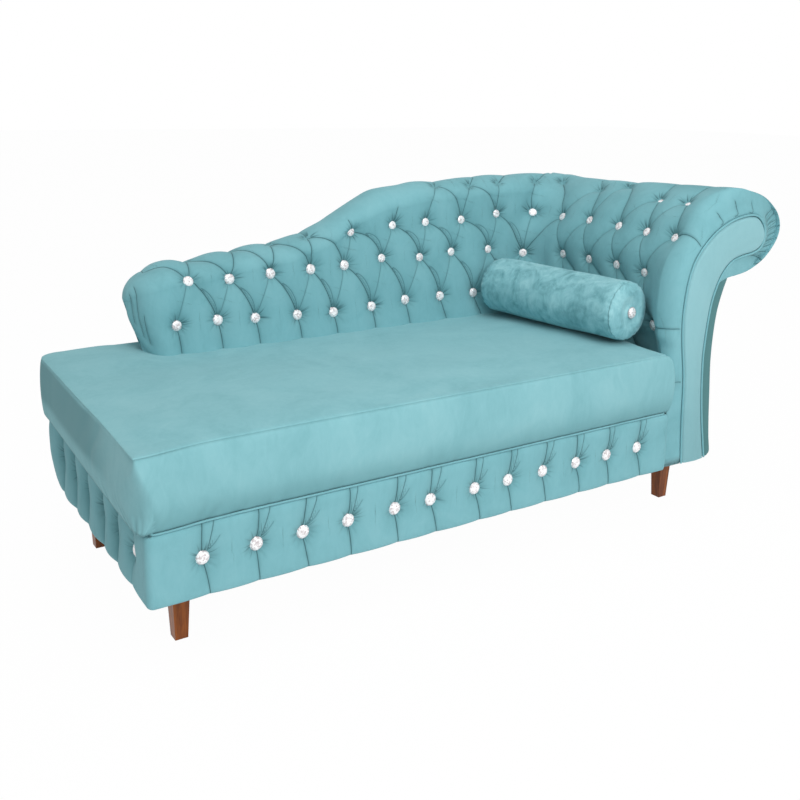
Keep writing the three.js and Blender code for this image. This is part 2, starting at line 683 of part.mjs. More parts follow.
// A place on the smooth envelope, at a distance up the section, with the way into the padding
function backPlace(section, distance) {
  const { shoulder, face, faceTopY, half, arc } = section;
  if (distance <= face) {
    const share = distance / face;
    return {
      y: lerp(backFaceY, faceTopY, share), z: seatTop + GAP + distance, inY: 1, inZ: 0, front: 1,
    };
  }
  const angle = Math.PI * Math.min((distance - face) / arc, 1);
  return {
    y: faceTopY + half - half * Math.cos(angle),
    z: shoulder + BACK_CREST_ROUND * Math.sin(angle),
    inY: Math.cos(angle),
    inZ: -Math.sin(angle),
    front: Math.max(Math.cos(angle), 0),
  };
}

function backPad(armSolid) {
  const rowHeights = backRowShares.map((share) => share * BACK_HIGH_HEIGHT);
  const lastRow = rowHeights.length - 1;
  const columns = [];
  for (let u = -0.5; BACK_FIRST_BUTTON + u * BACK_PITCH < backRight; u += 0.25) columns.push(u);
  const lead = leadShares.map((share) => BACK_LEFT_X + share * BACK_END_ROUND);
  const middle = columns.map((u) => BACK_FIRST_BUTTON + u * BACK_PITCH);
  const places = [...lead, ...middle, backRight, backRight + OVERRUN];
  const levels = [];
  for (let w = -0.5; w <= lastRow; w += 0.25) levels.push({ row: w, past: 0 });
  for (let k = 1; k <= CREST_STEPS; k += 1) levels.push({ row: lastRow, past: k / CREST_STEPS });
  levels.unshift({ row: rowAt(0, rowHeights), past: 0 });
  const rings = places.map((station) => {
    const share = clamp((station - BACK_LEFT_X) / BACK_END_ROUND, 0, 1);
    const round = Math.sqrt(1 - (1 - share) ** 2);
    const reach = smoothstep(station, BACK_LEFT_X, BACK_FIRST_BUTTON)
      * (1 - smoothstep(station, backRight - CORNER_FILLET, backRight));
    const alongShare = (station - BACK_LEFT_X) / backLength;
    const tall = smoothstep(alongShare, ...tallShares);
    const column = (station - BACK_FIRST_BUTTON) / BACK_PITCH;
    const ring = levels.map(({ row, past }) => {
      const x = station + BACK_PITCH * leanAt(row, tall) * Math.max(1 - 2 * past, 0) * reach;
      const section = backSection(x);
      const start = heightAt(row, rowHeights);
      const distance = start + (section.length - start) * past;
      const place = backPlace(section, distance);
      const pleat = lerp(pleatDepth(column + 1 / 2), pleatDepth(column), tall);
      const foot = clamp(-2 * row, 0, 1);
      const crest = Math.max(clamp(row - 1, 0, 1) * (1 - tall), clamp(4 * past, 0, 1));
      const quilt = lerp(diamondDepth(column, Math.max(row, -1 / 2)), pleatDepth(column), foot);
      const onRoll = smoothstep(distance, section.face, section.face + section.arc / 2);
      const behind = smoothstep(distance, section.face + section.arc / 2, section.length);
      const fade = lerp(1, crestDepthShare, onRoll) * (1 - behind);
      const sink = BACK_TUFT_DEPTH * lerp(quilt, pleat, crest) * fade * reach;
      const toCorner = clamp(1 - (backRight - station) / CORNER_FILLET, 0, 1);
      const fillet = CORNER_FILLET * (1 - Math.sqrt(1 - toCorner ** 2)) * place.front;
      const fan = smoothstep(station, backRight - FAN_LENGTH, backRight)
        * (armFaceX(place.z, backFaceY) - backRight);
      const middleY = (section.faceTopY + BASE_DEPTH) / 2;
      const middleZ = lerp(seatTop, crestZ(x), endCentreShare);
      return new THREE.Vector3(
        x + fan,
        middleY + (place.y + place.inY * sink - fillet - middleY) * round,
        middleZ + (place.z + place.inZ * sink - middleZ) * round,
      );
    });
    const middleZ = lerp(seatTop, crestZ(station), endCentreShare);
    const middleY = (backSection(station).faceTopY + BASE_DEPTH) / 2;
    const footZ = middleZ + (seatTop + GAP - middleZ) * round;
    ring.push(new THREE.Vector3(station, middleY + (BASE_DEPTH - middleY) * round, footZ));
    return ring;
  });
  const raw = loft(rings, (p) => new THREE.Vector2(p.y, p.z));
  return cut(raw, board(grown(backBoardOutline(0), GAP), boardFront - GAP, BASE_DEPTH + OVERRUN), armSolid);
}

const backBoardRight = Math.min(...faceLine.map((point) => point.x)) - ARM_WAIST_CLEARANCE;
function backBoardOutline(lift) {
  const foot = BACK_BOARD_FOOT + lift;
  const outline = [new THREE.Vector2(backBoardRight, foot), new THREE.Vector2(BACK_BOARD_LEFT, foot)];
  for (let i = 0; i <= BACK_BOARD_STEPS; i += 1) {
    const x = lerp(BACK_BOARD_LEFT, backBoardRight, i / BACK_BOARD_STEPS);
    const corner = i === 0 ? BACK_BOARD_DROP / 3 : 0;
    outline.push(new THREE.Vector2(x, crestZ(x) - BACK_BOARD_DROP - corner));
  }
  return outline;
}

// The arm: padding that climbs its inner face, rolls over the scroll and ends under it. Its inside follows
// the core line, or is filled where the form serves to trim its neighbours.
function armForm(filled) {
  const rowHeights = armRowShares.map((share) => armBottom + share * ARM_RISE);
  const lastRow = rowHeights.length - 2;
  const heights = [seatBottom, (seatBottom + seatEdgeTop) / 2, seatEdgeTop];
  for (let w = -0.5; w < rowHeights.length; w += 0.25) {
    const z = heightAt(w, rowHeights);
    if (z > seatEdgeTop && z < armCrest) heights.push(z);
  }
  const footX = coreLine[coreLine.length - 1].x;
  const hollow = [...coreLine.slice(0, -1), new THREE.Vector2(footX, seatBottom)];
  const core = filled ? [new THREE.Vector2(rollLine[rollLine.length - 1].x, seatBottom)] : hollow;
  const places = [0, BAND_SWELL, PANEL_THICKNESS * 2];
  for (let u = -0.25; ARM_FIRST_BUTTON + u * ARM_PITCH < backFaceY - CORNER_FILLET; u += 0.25) {
    places.push(ARM_FIRST_BUTTON + u * ARM_PITCH);
  }
  places.push(backFaceY, setbackRearStart, (setbackRearStart + setbackRearEnd) / 2);
  places.push(setbackRearEnd, BASE_DEPTH);
  const rings = places.map((y) => {
    const column = (y - ARM_FIRST_BUTTON) / ARM_PITCH;
    const inShare = clamp(Math.min(y, BASE_DEPTH - y) / (PANEL_THICKNESS * 2), 0, 1);
    const edge = BAND_SWELL * (1 - Math.sqrt(1 - (1 - inShare) ** 2));
    const reach = smoothstep(y, ARM_FIRST_BUTTON / 2, ARM_FIRST_BUTTON)
      * (1 - smoothstep(y, backFaceY - CORNER_FILLET * 2, backFaceY - CORNER_FILLET));
    const face = heights.map((z) => {
      const row = rowAt(z, rowHeights);
      const pleats = Math.max(clamp(-row * 2, 0, 1), clamp((row - lastRow) * 2, 0, 1));
      const depth = lerp(diamondDepth(column, clamp(row, -0.5, lastRow + 0.5)), pleatDepth(column), pleats);
      const topFade = 1 - smoothstep(z, rowHeights[lastRow + 1], armCrest);
      const fade = smoothstep(z, seatEdgeTop, rowHeights[0]) * topFade;
      const x = armFaceX(z, y) + ARM_TUFT_DEPTH * depth * fade * reach + edge;
      return new THREE.Vector3(x, y, z - armDrop(z, y));
    });
    const over = rollLine.map((point, i) => {
      const inward = i === 0 || i === rollLine.length - 1 ? 0 : edge;
      const centre = hollow[Math.floor(hollow.length / 2)];
      const way = new THREE.Vector2(centre.x - point.x, centre.y - point.y).normalize();
      return new THREE.Vector3(point.x + way.x * inward, y, point.y + way.y * inward - armDrop(point.y, y));
    });
    return [...face, ...over, ...core.map((point) => new THREE.Vector3(point.x, y, point.y))];
  });
  return loft(rings, (p) => new THREE.Vector2(p.x, p.z));
}

function addArm() {
  const opening = panelOutline(weltClearance, OVERRUN);
  const front = board(opening, -OVERRUN, frameFront);
  const rear = board(opening, boardFront - GAP, BASE_DEPTH + OVERRUN);
  add('arm_pad', cut(armForm(false), front, rear), velvet());
  const boardOutline = panelOutline(WELT_RADIUS, 0);
  add('arm_front_board', board(boardOutline, PANEL_THICKNESS + GAP, BAND_PAD), timber());
  add('arm_rear_board', board(boardOutline, boardFront, boardRear), timber());
  add('arm_rear_panel', board(boardOutline, clothFront, BASE_DEPTH), velvet());
  const face = grown(panelLine, -weltClearance - PANEL_BEVEL);
  const bevel = {
    bevelEnabled: true, bevelThickness: PANEL_BEVEL, bevelSize: PANEL_BEVEL, bevelSegments: 2,
  };
  add('arm_front_panel', board(face, 0, PANEL_THICKNESS, bevel), velvet());

  const extrudePath = new PointPath(panelLine.map((p) => new THREE.Vector3(p.x, WELT_RADIUS, p.y)));
  const round = new THREE.EllipseCurve(0, 0, WELT_RADIUS, WELT_RADIUS).getPoints(WELT_SIDES);
  const section = new THREE.Shape(round.slice(0, WELT_SIDES));
  const sweep = { steps: panelLine.length - 1, bevelEnabled: false, extrudePath };
  add('arm_front_welt', new THREE.ExtrudeGeometry(section, sweep), velvet());

  const stripRight = armLeft + panelShares[0][0] * ARM_REACH;
  const strip = boxBetween(armLeft, 0, LEG_HEIGHT, stripRight, BAND_PAD, bandTop);
  add('arm_front_strip', cut(strip, board(opening, -OVERRUN, BAND_PAD + OVERRUN)), velvet());

  const outsideTop = armBottom + outsideTopShare * ARM_RISE - GAP;
  const tip = opening.reduce((best, point, i) => (point.x > opening[best].x ? i : best), 0);
  const innerSide = opening.slice(tip);
  const outer = [];
  const inner = [];
  for (let i = 0; i <= OUTSIDE_STEPS; i += 1) {
    const z = lerp(armBottom, outsideTop, i / OUTSIDE_STEPS);
    outer.push(new THREE.Vector2(xAt(outsideLine, z), z));
    inner.unshift(new THREE.Vector2(xAt(innerSide, z), z));
  }
  add('arm_outside_panel', board([...outer, ...inner], 0, BASE_DEPTH), velvet());

  for (const { name, share: [x, z], height } of armRails) {
    const left = armLeft + x * ARM_REACH - ARM_RAIL_WIDTH / 2;
    const low = armBottom + z * ARM_RISE - height / 2;
    add(name, boxBetween(left, frameFront, low, left + ARM_RAIL_WIDTH, frameRear, low + height), timber());
  }
}

function addBack(armSolid) {
  add('back_pad', backPad(armSolid), velvet());
  add('back_board', board(backBoardOutline(0), boardFront, boardRear), timber());
  const rearOutline = backBoardOutline(bandTop + GAP - BACK_BOARD_FOOT);
  add('back_rear_panel', board(rearOutline, clothFront, BASE_DEPTH), velvet());
  const lowPanel = panelShares.slice(0, 3).map(([x]) => x);
  const baseRight = armLeft + Math.min(...lowPanel) * ARM_REACH - weltClearance;
  const basePanel = boxBetween(frameFront, clothFront, LEG_HEIGHT, baseRight, BASE_DEPTH, bandTop);
  add('base_rear_panel', basePanel, velvet());
}

function addSeat(armSolid) {
  const besideArm = boxBetween(
    armLeft - GAP, -OVERRUN, LEG_HEIGHT, BASE_LENGTH, BAND_PAD / 2, seatTop + OVERRUN,
  );
  const behindBoard = boxBetween(
    BACK_BOARD_LEFT - GAP, boardFront - GAP, LEG_HEIGHT, BASE_LENGTH, BASE_DEPTH + OVERRUN, seatTop + OVERRUN,
  );
  add('seat_cushion', cut(seatCushion(), behindBoard, besideArm, armSolid), velvet());
}

// The bolster: a stuffed roll with a dished cap and a crystal at each end
function addBolster() {
  const bolster = new THREE.Group();
  bolster.position.set(armLeft - BOLSTER_ARM_INSET, BOLSTER_FRONT_Y, seatTop + GAP + BOLSTER_RADIUS);
  bolster.rotation.z = BOLSTER_TURN_SHARE;
  couch.add(bolster);
  const place = (name, geometry, material, y, turned) => {
    const mesh = new THREE.Mesh(geometry, material);
    mesh.name = name;
    mesh.position.y = y;
    mesh.rotation.z = turned ? Math.PI : 0;
    bolster.add(mesh);
  };
  const start = BOLSTER_CAP + GAP;
  const end = bolsterLength - BOLSTER_CAP - GAP;
  const [waist, rim] = capShares.slice(3, 5).map(([share]) => BOLSTER_RADIUS * share);
  const full = BOLSTER_RADIUS / 2;
  const half = BOLSTER_CAP / 2;
  const profile = [
    new THREE.Vector2(0, start), new THREE.Vector2(rim, start), new THREE.Vector2(waist, start + half),
    new THREE.Vector2(BOLSTER_RADIUS, start + full), new THREE.Vector2(BOLSTER_RADIUS, end - full),
    new THREE.Vector2(waist, end - half), new THREE.Vector2(rim, end), new THREE.Vector2(0, end),
  ];
  place('bolster_body', new THREE.LatheGeometry(profile, BOLSTER_SIDES), velvet(), 0, false);
  const seat = BUTTON_RADIUS + BUTTON_MARGIN;
  const dimple = [new THREE.Vector2(0, BOLSTER_DIMPLE), new THREE.Vector2(seat, BOLSTER_DIMPLE)];
  const face = capShares.map(([r, h]) => new THREE.Vector2(BOLSTER_RADIUS * r, BOLSTER_CAP * h));
  const cap = [...dimple, ...face];
  place('bolster_cap_front', new THREE.LatheGeometry(cap, BOLSTER_SIDES), velvet(), 0, false);
  place('bolster_cap_rear', new THREE.LatheGeometry(cap, BOLSTER_SIDES), velvet(), bolsterLength, true);
  place('bolster_crystal_front', crystalButton(), crystal(), BOLSTER_DIMPLE - GAP, false);
  place('bolster_crystal_rear', crystalButton(), crystal(), bolsterLength - BOLSTER_DIMPLE + GAP, true);
}

addFrame();
addLegs();
addDustCover();
addBands();
const armClear = armForm(true).translate(-GAP, 0, 0);
addSeat(armClear);
addBack(armClear);
addArm();
addBolster();

// The origin is the middle of the footprint, on the floor
couch.updateMatrixWorld(true);
const bounds = new THREE.Box3().setFromObject(couch, true);
const centre = bounds.getCenter(new THREE.Vector3());
couch.position.set(-centre.x, -centre.y, -bounds.min.z);

export default couch;
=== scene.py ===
"""Dresses the fainting couch: tufted velvet back, arm and base band, box seat, bolster, crystals and legs."""
import math

import bmesh
import bpy
import numpy as np
from mathutils import Matrix, Vector


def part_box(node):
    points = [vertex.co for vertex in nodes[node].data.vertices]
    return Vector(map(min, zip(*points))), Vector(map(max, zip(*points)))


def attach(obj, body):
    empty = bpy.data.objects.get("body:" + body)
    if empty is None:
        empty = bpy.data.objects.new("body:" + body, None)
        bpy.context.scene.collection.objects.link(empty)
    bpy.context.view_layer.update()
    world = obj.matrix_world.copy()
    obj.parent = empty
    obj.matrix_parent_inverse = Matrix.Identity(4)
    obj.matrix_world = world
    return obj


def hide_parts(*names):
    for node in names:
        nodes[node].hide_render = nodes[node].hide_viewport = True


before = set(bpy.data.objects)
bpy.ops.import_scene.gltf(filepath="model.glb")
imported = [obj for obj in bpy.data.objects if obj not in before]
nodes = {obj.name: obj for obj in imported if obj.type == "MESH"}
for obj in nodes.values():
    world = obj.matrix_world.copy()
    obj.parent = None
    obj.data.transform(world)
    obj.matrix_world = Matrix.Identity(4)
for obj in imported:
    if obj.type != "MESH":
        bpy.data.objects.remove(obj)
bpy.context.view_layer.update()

# Sizes are in millimetres from the floor below the couch's low front corner, where the rails stand RAIL_INSET
# in from both faces and RAIL_FOOT up
RAIL_INSET, RAIL_FOOT = 32.3, 144.3
origin = np.array(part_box("front_rail")[0]) - np.array((RAIL_INSET, RAIL_INSET, RAIL_FOOT)) / 1000

# Depth and levels
BASE_DEPTH, BAND_FOOT = 776.0, 142.0
SEAT_EDGE, SEAT_TOP = 453.0, 468.0

# Points that a smooth line gets between two of its outline
LINE_STEPS = 8

# Arm outlines seen from the front, as shares of its reach and rise
ARM_LEFT, ARM_REACH, ARM_RISE = 1405.0, 403.0, 741.0
PANEL_SHARES = (
    (0.176, 0), (0.154, 0.159), (0.141, 0.321), (0.104, 0.456), (0.092, 0.537), (0.097, 0.605),
    (0.119, 0.679), (0.161, 0.742), (0.233, 0.792), (0.323, 0.834), (0.422, 0.864), (0.533, 0.884),
    (0.653, 0.893), (0.744, 0.887), (0.806, 0.857), (0.826, 0.818), (0.801, 0.78), (0.732, 0.761),
    (0.62, 0.752), (0.521, 0.737), (0.447, 0.706), (0.39, 0.663), (0.342, 0.598), (0.318, 0.524),
    (0.305, 0.456), (0.298, 0.382), (0.31, 0.267), (0.337, 0.146), (0.385, 0),
)
PANEL_WAIST, PANEL_CREST, PANEL_TIP, PANEL_UNDER = (LINE_STEPS * point for point in (6, 12, 15, 21))
FACE_SHARES = (
    (0.002, 0), (0.002, 0.2), (0.002, 0.3), (0.002, 0.42), (-0.005, 0.447), (-0.03, 0.48), (-0.042, 0.53),
    (-0.04, 0.605), (-0.025, 0.679), (0.01, 0.733), (0.057, 0.777), (0.141, 0.842), (0.233, 0.908),
    (0.34, 0.961), (0.469, 0.993), (0.52, 1),
)
ROLL_SHARES = (
    (0.52, 1), (0.6, 0.995), (0.665, 0.984), (0.804, 0.96), (0.903, 0.928), (0.968, 0.893), (1, 0.85),
    (0.988, 0.804), (0.93, 0.76), (0.826, 0.717), (0.712, 0.692), (0.583, 0.679), (0.499, 0.675),
)
ROLL_TIP = 6 * LINE_STEPS
OUTSIDE_SHARES = (
    (0.444, 0), (0.417, 0.132), (0.4, 0.254), (0.385, 0.368), (0.39, 0.47), (0.409, 0.553), (0.444, 0.617),
    (0.484, 0.67),
)
CORE_SHARES = ((0.43, 0.69), (0.33, 0.62), (0.25, 0.45), (0.23, 0.24))

# The back's crest, as shares of its run and of the rise from low to high, and the back's own sizes
CREST_SHARES = (
    (0, -0.03), (0.04, -0.02), (0.075, 0.02), (0.1, 0.04), (0.15, 0.045), (0.19, 0.09), (0.255, 0.15),
    (0.33, 0.2), (0.37, 0.25), (0.442, 0.4), (0.475, 0.51), (0.509, 0.633), (0.535, 0.723), (0.57, 0.835),
    (0.6, 0.872), (0.645, 0.9), (0.69, 0.945), (0.775, 0.96), (0.877, 1.005), (0.96, 1.005), (1.1, 1.005),
)
BACK_LEFT, BACK_FACE, BACK_LEAN, BACK_END, CREST_ROUND = 180.0, 601.0, 45.0, 100.0, 60.0
BACK_LOW, BACK_HIGH = 216.0, 404.0


def clamp(x, low=0.0, high=1.0):
    return np.clip(x, low, high)


def smoothstep(x, low, high):
    t = clamp((np.asarray(x, float) - low) / (high - low))
    return t * t * (3 - 2 * t)


def lerp(a, b, t):
    return a + (b - a) * t


def bell(distance, width):
    """1 at no distance, and falling away smoothly over the width."""
    return np.exp(-((distance / width) ** 2))


def bowed(start, control, end, q):
    """A place on the curve that leaves start toward control and arrives at end."""
    return (1 - q) ** 2 * start + 2 * q * (1 - q) * control + q**2 * end


def smooth_line(points, steps=LINE_STEPS):
    """A smooth line through points, with as many steps between each two."""
    p = np.array(points, float)
    padded = np.vstack([p[:1], p, p[-1:]])
    t = np.arange(steps)[:, None] / steps
    parts = []
    for a, b, c, d in zip(padded, padded[1:], padded[2:], padded[3:]):
        leave, arrive = (c - a) / 2, (d - b) / 2
        cubic, square = 2 * b - 2 * c + leave + arrive, 3 * c - 3 * b - 2 * leave - arrive
        parts.append(cubic * t**3 + square * t**2 + leave * t + b)
    return np.vstack(parts + [p[-1:]])


def even_line(line, count):
    """The same line as count points at even distances."""
    reach = np.concatenate([[0], np.cumsum(np.linalg.norm(np.diff(line, axis=0), axis=1))])
    at = np.linspace(0, reach[-1], count)
    return np.stack([np.interp(at, reach, axis) for axis in line.T], 1)


def arm_line(shares):
    """One of the arm's outlines, as x and z."""
    line = smooth_line(shares)
    return np.stack([ARM_LEFT + line[:, 0] * ARM_REACH, BAND_FOOT + line[:, 1] * ARM_RISE], 1)


face_line, roll_line = arm_line(FACE_SHARES), arm_line(ROLL_SHARES)
panel_line, core_line = arm_line(PANEL_SHARES), arm_line(CORE_SHARES)
ARM_CREST = face_line[-1, 1]
SET_BACK = 49
setback_low, setback_high = BAND_FOOT + 0.62 * ARM_RISE, BAND_FOOT + 0.91 * ARM_RISE


def face_x(z, y):
    """The arm's inner face: fuller at the front, set back behind it."""
    along = smoothstep(y, 24, 140) - smoothstep(y, 640, 740)
    behind = SET_BACK * along * (1 - smoothstep(z, setback_low, setback_high))
    return np.interp(z, face_line[:, 1], face_line[:, 0]) + behind


def arm_drop(z, y):
    """How far the arm's roll falls behind its front."""
    fall = 19 * clamp((y - 30) / 570) - 9 * smoothstep(y, 600, 740)
    return fall * clamp((z - setback_low) / (ARM_CREST - setback_low))


back_right = face_x(SEAT_TOP, BACK_FACE)
crest_line = smooth_line(CREST_SHARES)


def crest_z(x):
    """Height of the back's crest."""
    share = np.interp((x - BACK_LEFT) / (back_right - BACK_LEFT), crest_line[:, 0], crest_line[:, 1])
    return SEAT_TOP + lerp(BACK_LOW, BACK_HIGH, share)


# The padded sheet over back and arm: its levels and stations, and how it turns at its edges
FOOT_ROWS, FACE_ROWS, ROLL_ROWS = 12, 150, 64
END_COLUMNS, BACK_COLUMNS, CORNER_COLUMNS, ARM_COLUMNS, RIM_COLUMNS = 26, 364, 40, 172, 24
TUCK = 452.0
FILLET, ROLL_FILLET = 65.0, 30
RIM_DEPTH, ROLL_RIM_DEPTH, FOOT_RIM_DEPTH = 60.0, 12.0, 7.0
RIM_FACE, WELT_GAP, BEHIND_PANEL = 3.5, 6.0, 12.0

# The inner corner's fan over the roll: its depth at either end, and where in its turn it folds in at the rear
FAN_REAR, FAN_FRONT, FAN_INSIDE = 756.0, 600, 766.0
BRIDGE_DEGREES, RIM_DEGREES = 8, 30
corner_start = face_x(535, BACK_FACE) - FILLET

rise = np.concatenate([
    np.linspace(-1, 0, FOOT_ROWS, endpoint=False),
    np.linspace(0, 1, FACE_ROWS, endpoint=False),
    np.linspace(1, 2, ROLL_ROWS),
])[:, None]
inner_face = even_line(face_line[face_line[:, 1] >= TUCK - 1], FACE_ROWS + 1)[:-1]
outer_roll = even_line(roll_line, ROLL_ROWS)
row_z = np.concatenate([np.full(FOOT_ROWS, TUCK), inner_face[:, 1], outer_roll[:, 1]])[:, None]
roll_x = np.concatenate([np.zeros(FOOT_ROWS + FACE_ROWS), outer_roll[:, 0]])[:, None]


def arm_place(y):
    """Points of the arm's smooth outside: one row of y for each level."""
    foot = lerp(BAND_FOOT, 300, smoothstep(y, 26, 44))
    z = np.where(rise < 0, lerp(TUCK, foot, -rise), row_z)
    x = np.where(rise < 1, face_x(z, y), roll_x)
    return np.stack([x, y + 0 * z, z - arm_drop(z, y)], -1)


def back_place(x):
    """Points of the back's smooth outside: one row of x for each level."""
    crest = crest_z(x)
    shoulder = crest - CREST_ROUND
    face_top = BACK_FACE + BACK_LEAN * (shoulder - SEAT_TOP) / BACK_HIGH
    half = (BASE_DEPTH - face_top) / 2
    quarter = math.pi / 2 * (half + CREST_ROUND) / 2
    climb = shoulder - TUCK
    distance = clamp(rise) * (climb + quarter)
    over = clamp((distance - climb) / quarter) + clamp((rise - 1) / 0.7)
    angle = over * math.pi / 2
    tail = clamp((rise - 1.7) / 0.3)
    z = np.where(over > 0, shoulder + CREST_ROUND * np.sin(angle), TUCK + distance) + np.minimum(rise, 0) * 15
    lean = BACK_FACE + BACK_LEAN * (np.minimum(z, shoulder) - SEAT_TOP) / BACK_HIGH
    y = np.where(over > 0, face_top + half - half * np.cos(angle), lean)
    return np.stack([x + 0 * z, y - 11 * smoothstep(tail, 0.3, 1), z - 18 * tail], -1)


def panel_rows():
    """For each level, the place beside the scroll panel that the padding runs to, and one just behind it."""
    inner = panel_line[: PANEL_CREST + 1]
    inner = np.array([p for p in inner if p[1] >= TUCK - 1])
    tip_row = int(np.argmin(np.linalg.norm(outer_roll - roll_line[ROLL_TIP], axis=1)))
    outer = np.vstack([
        even_line(panel_line[PANEL_CREST : PANEL_TIP + 1], tip_row + 1)[:-1],
        even_line(panel_line[PANEL_TIP : PANEL_UNDER + 1], ROLL_ROWS - tip_row),
    ])
    foot_z = np.linspace(BAND_FOOT, TUCK, FOOT_ROWS, endpoint=False)
    low = panel_line[:PANEL_WAIST]
    foot = np.stack([np.interp(foot_z, low[:, 1], low[:, 0]), foot_z], 1)
    line = np.vstack([foot, even_line(inner, FACE_ROWS + 1)[:-1], outer])
    out = outward_of(line)
    return line + out * WELT_GAP, line - out


def outward_of(line):
    """The way out of a line in x and z, at each of its points."""
    way = np.gradient(line, axis=0)
    return np.stack([-way[:, 1], way[:, 0]], 1) / np.linalg.norm(way, axis=1)[:, None]


def turned_rim(edge, target, start_y, end_y, sweep, square=1.0, bead=0.0):
    """Carries the padding's edge round a quarter turn to the panel's outline, over a bead on the roll."""
    angle = sweep * math.pi / 2
    in_share = (1 - np.cos(angle)) ** square - bead * np.sin(2 * angle) ** 2
    x = edge[..., 0] + (target[:, :1] - edge[..., 0]) * in_share
    z = edge[..., 2] + (target[:, 1:] - edge[..., 2]) * in_share
    return np.stack([x, start_y + (end_y - start_y) * np.sin(angle) + 0 * x, z], -1)


def low_end():
    """The back's low end, rounded in plan and drawn in toward its foot."""
    turn = np.linspace(0, math.pi / 2, END_COLUMNS, endpoint=False)[None]
    end_x = BACK_LEFT + BACK_END * (1 - np.cos(turn)) + 0 * rise
    end = back_place(end_x)
    crest = crest_z(end_x)
    middle_y = (BACK_FACE + BACK_LEAN * (crest - CREST_ROUND - SEAT_TOP) / BACK_HIGH + BASE_DEPTH) / 2
    middle = np.stack([end_x, middle_y, lerp(SEAT_TOP, crest, 0.6)], -1)
    away = end - middle
    below = clamp(-away[..., 2] / (middle[..., 2] - TUCK))
    narrow = np.where(below > 0, lerp(1, 0.16, smoothstep(below, 0, 0.3)), 1)
    end = middle + away * np.stack([0 * below, np.sin(turn) + 0 * below, np.sin(turn) ** narrow], -1)
    end[..., 0] = BACK_LEFT + BACK_END - BACK_END * np.cos(turn) * (0.97 - 0.33 * below**2)
    return end


def inner_corner(welt, reach_x, fillet, back_edge, fan_out, corner_y):
    """The turn from back to arm: a round fillet on the face, and a fan from the rear rim over the roll."""
    turn = np.linspace(0, math.pi / 2, CORNER_COLUMNS, endpoint=False)[None]
    near = np.stack([
        reach_x - fillet * (1 - np.sin(turn)),
        back_edge[..., 1] - fillet * (1 - np.cos(turn)),
        lerp(back_edge[..., 2], arm_place(corner_y)[..., 2], smoothstep(turn, 0, math.pi / 2)),
    ], -1)
    degrees = np.degrees(turn)
    outward = arm_place(lerp(FAN_REAR, FAN_FRONT, clamp((degrees - RIM_DEGREES) / 60)) + 0 * rise)
    rim_sweep = clamp((RIM_DEGREES - degrees) / (RIM_DEGREES - BRIDGE_DEGREES)) + 0 * rise
    rim = turned_rim(arm_place(np.full_like(rise, FAN_REAR)), welt, FAN_REAR, BASE_DEPTH, rim_sweep)
    inside = np.stack([welt[:, :1], np.full_like(rise, FAN_INSIDE), welt[:, 1:]], -1)
    bridge_share = clamp((BRIDGE_DEGREES - degrees) / BRIDGE_DEGREES)[..., None] + 0 * rise[..., None]
    folded_in = np.where((degrees > BRIDGE_DEGREES)[..., None], rim, lerp(inside, back_edge, bridge_share))
    far = np.where((degrees >= RIM_DEGREES)[..., None], outward, folded_in)
    return lerp(near, far, fan_out[..., None])


def padded_envelope():
    """The smooth outside of back and arm as one grid: levels by stations."""
    welt, behind_panel = panel_rows()
    fillet = lerp(FILLET, ROLL_FILLET, smoothstep(rise, 0.75, 1.1))
    reach_x = face_x(np.where(rise < 1, row_z, ARM_CREST), BACK_FACE) + 0 * rise
    station = np.linspace(BACK_LEFT + BACK_END, corner_start, BACK_COLUMNS, endpoint=False)[None]
    fan = smoothstep(station, 880, corner_start)
    back = back_place(station + (reach_x - fillet - corner_start) * fan)
    back_edge = back_place(reach_x - fillet)
    fan_out = smoothstep(rise, 0.97, 1.3)
    corner_y = lerp(back_edge[..., 1] - fillet, FAN_FRONT, fan_out)
    corner = inner_corner(welt, reach_x, fillet, back_edge, fan_out, corner_y)

    run = np.linspace(0, 1, ARM_COLUMNS, endpoint=False)[None]
    face_rim = lerp(FOOT_RIM_DEPTH, RIM_DEPTH, smoothstep(rise, -0.3, 0.15))
    rim_depth = lerp(face_rim, ROLL_RIM_DEPTH, smoothstep(rise, 0.8, 1.15))
    arm = arm_place(lerp(corner_y, rim_depth, run))
    front_edge = arm_place(rim_depth + 0 * rise)
    sweep = np.linspace(0, 1, RIM_COLUMNS)[None] + 0 * rise
    on_roll = smoothstep(rise, 0.9, 1.2)
    rim = turned_rim(front_edge, welt, rim_depth, RIM_FACE, sweep, lerp(1, 1.35, on_roll), 0.16 * on_roll)
    back_in = np.stack([behind_panel[:, :1], np.full_like(rise, BEHIND_PANEL), behind_panel[:, 1:]], -1)
    return np.concatenate([low_end(), back, corner, arm, rim, back_in], 1)


envelope = padded_envelope()
corner_column = END_COLUMNS + BACK_COLUMNS
arm_column = corner_column + CORNER_COLUMNS
rim_column = arm_column + ARM_COLUMNS
crest_row = FOOT_ROWS + FACE_ROWS


def grid_normals(grid):
    """The way that a grid faces, at each of its points."""
    normal = np.cross(np.gradient(grid, axis=1), np.gradient(grid, axis=0))
    return normal / np.maximum(np.linalg.norm(normal, axis=2, keepdims=True), 1e-9)


def sample(grid, row, column):
    """A grid's value between its points."""
    row = np.clip(row, 0, grid.shape[0] - 1.001)
    column = np.clip(column, 0, grid.shape[1] - 1.001)
    r, c = np.floor(row).astype(int), np.floor(column).astype(int)
    fr, fc = (row - r)[..., None], (column - c)[..., None]
    return lerp(lerp(grid[r, c], grid[r, c + 1], fc), lerp(grid[r + 1, c], grid[r + 1, c + 1], fc), fr)


# How far from a button the cover's marks reach where no button is near
FAR_OFF = 90.0


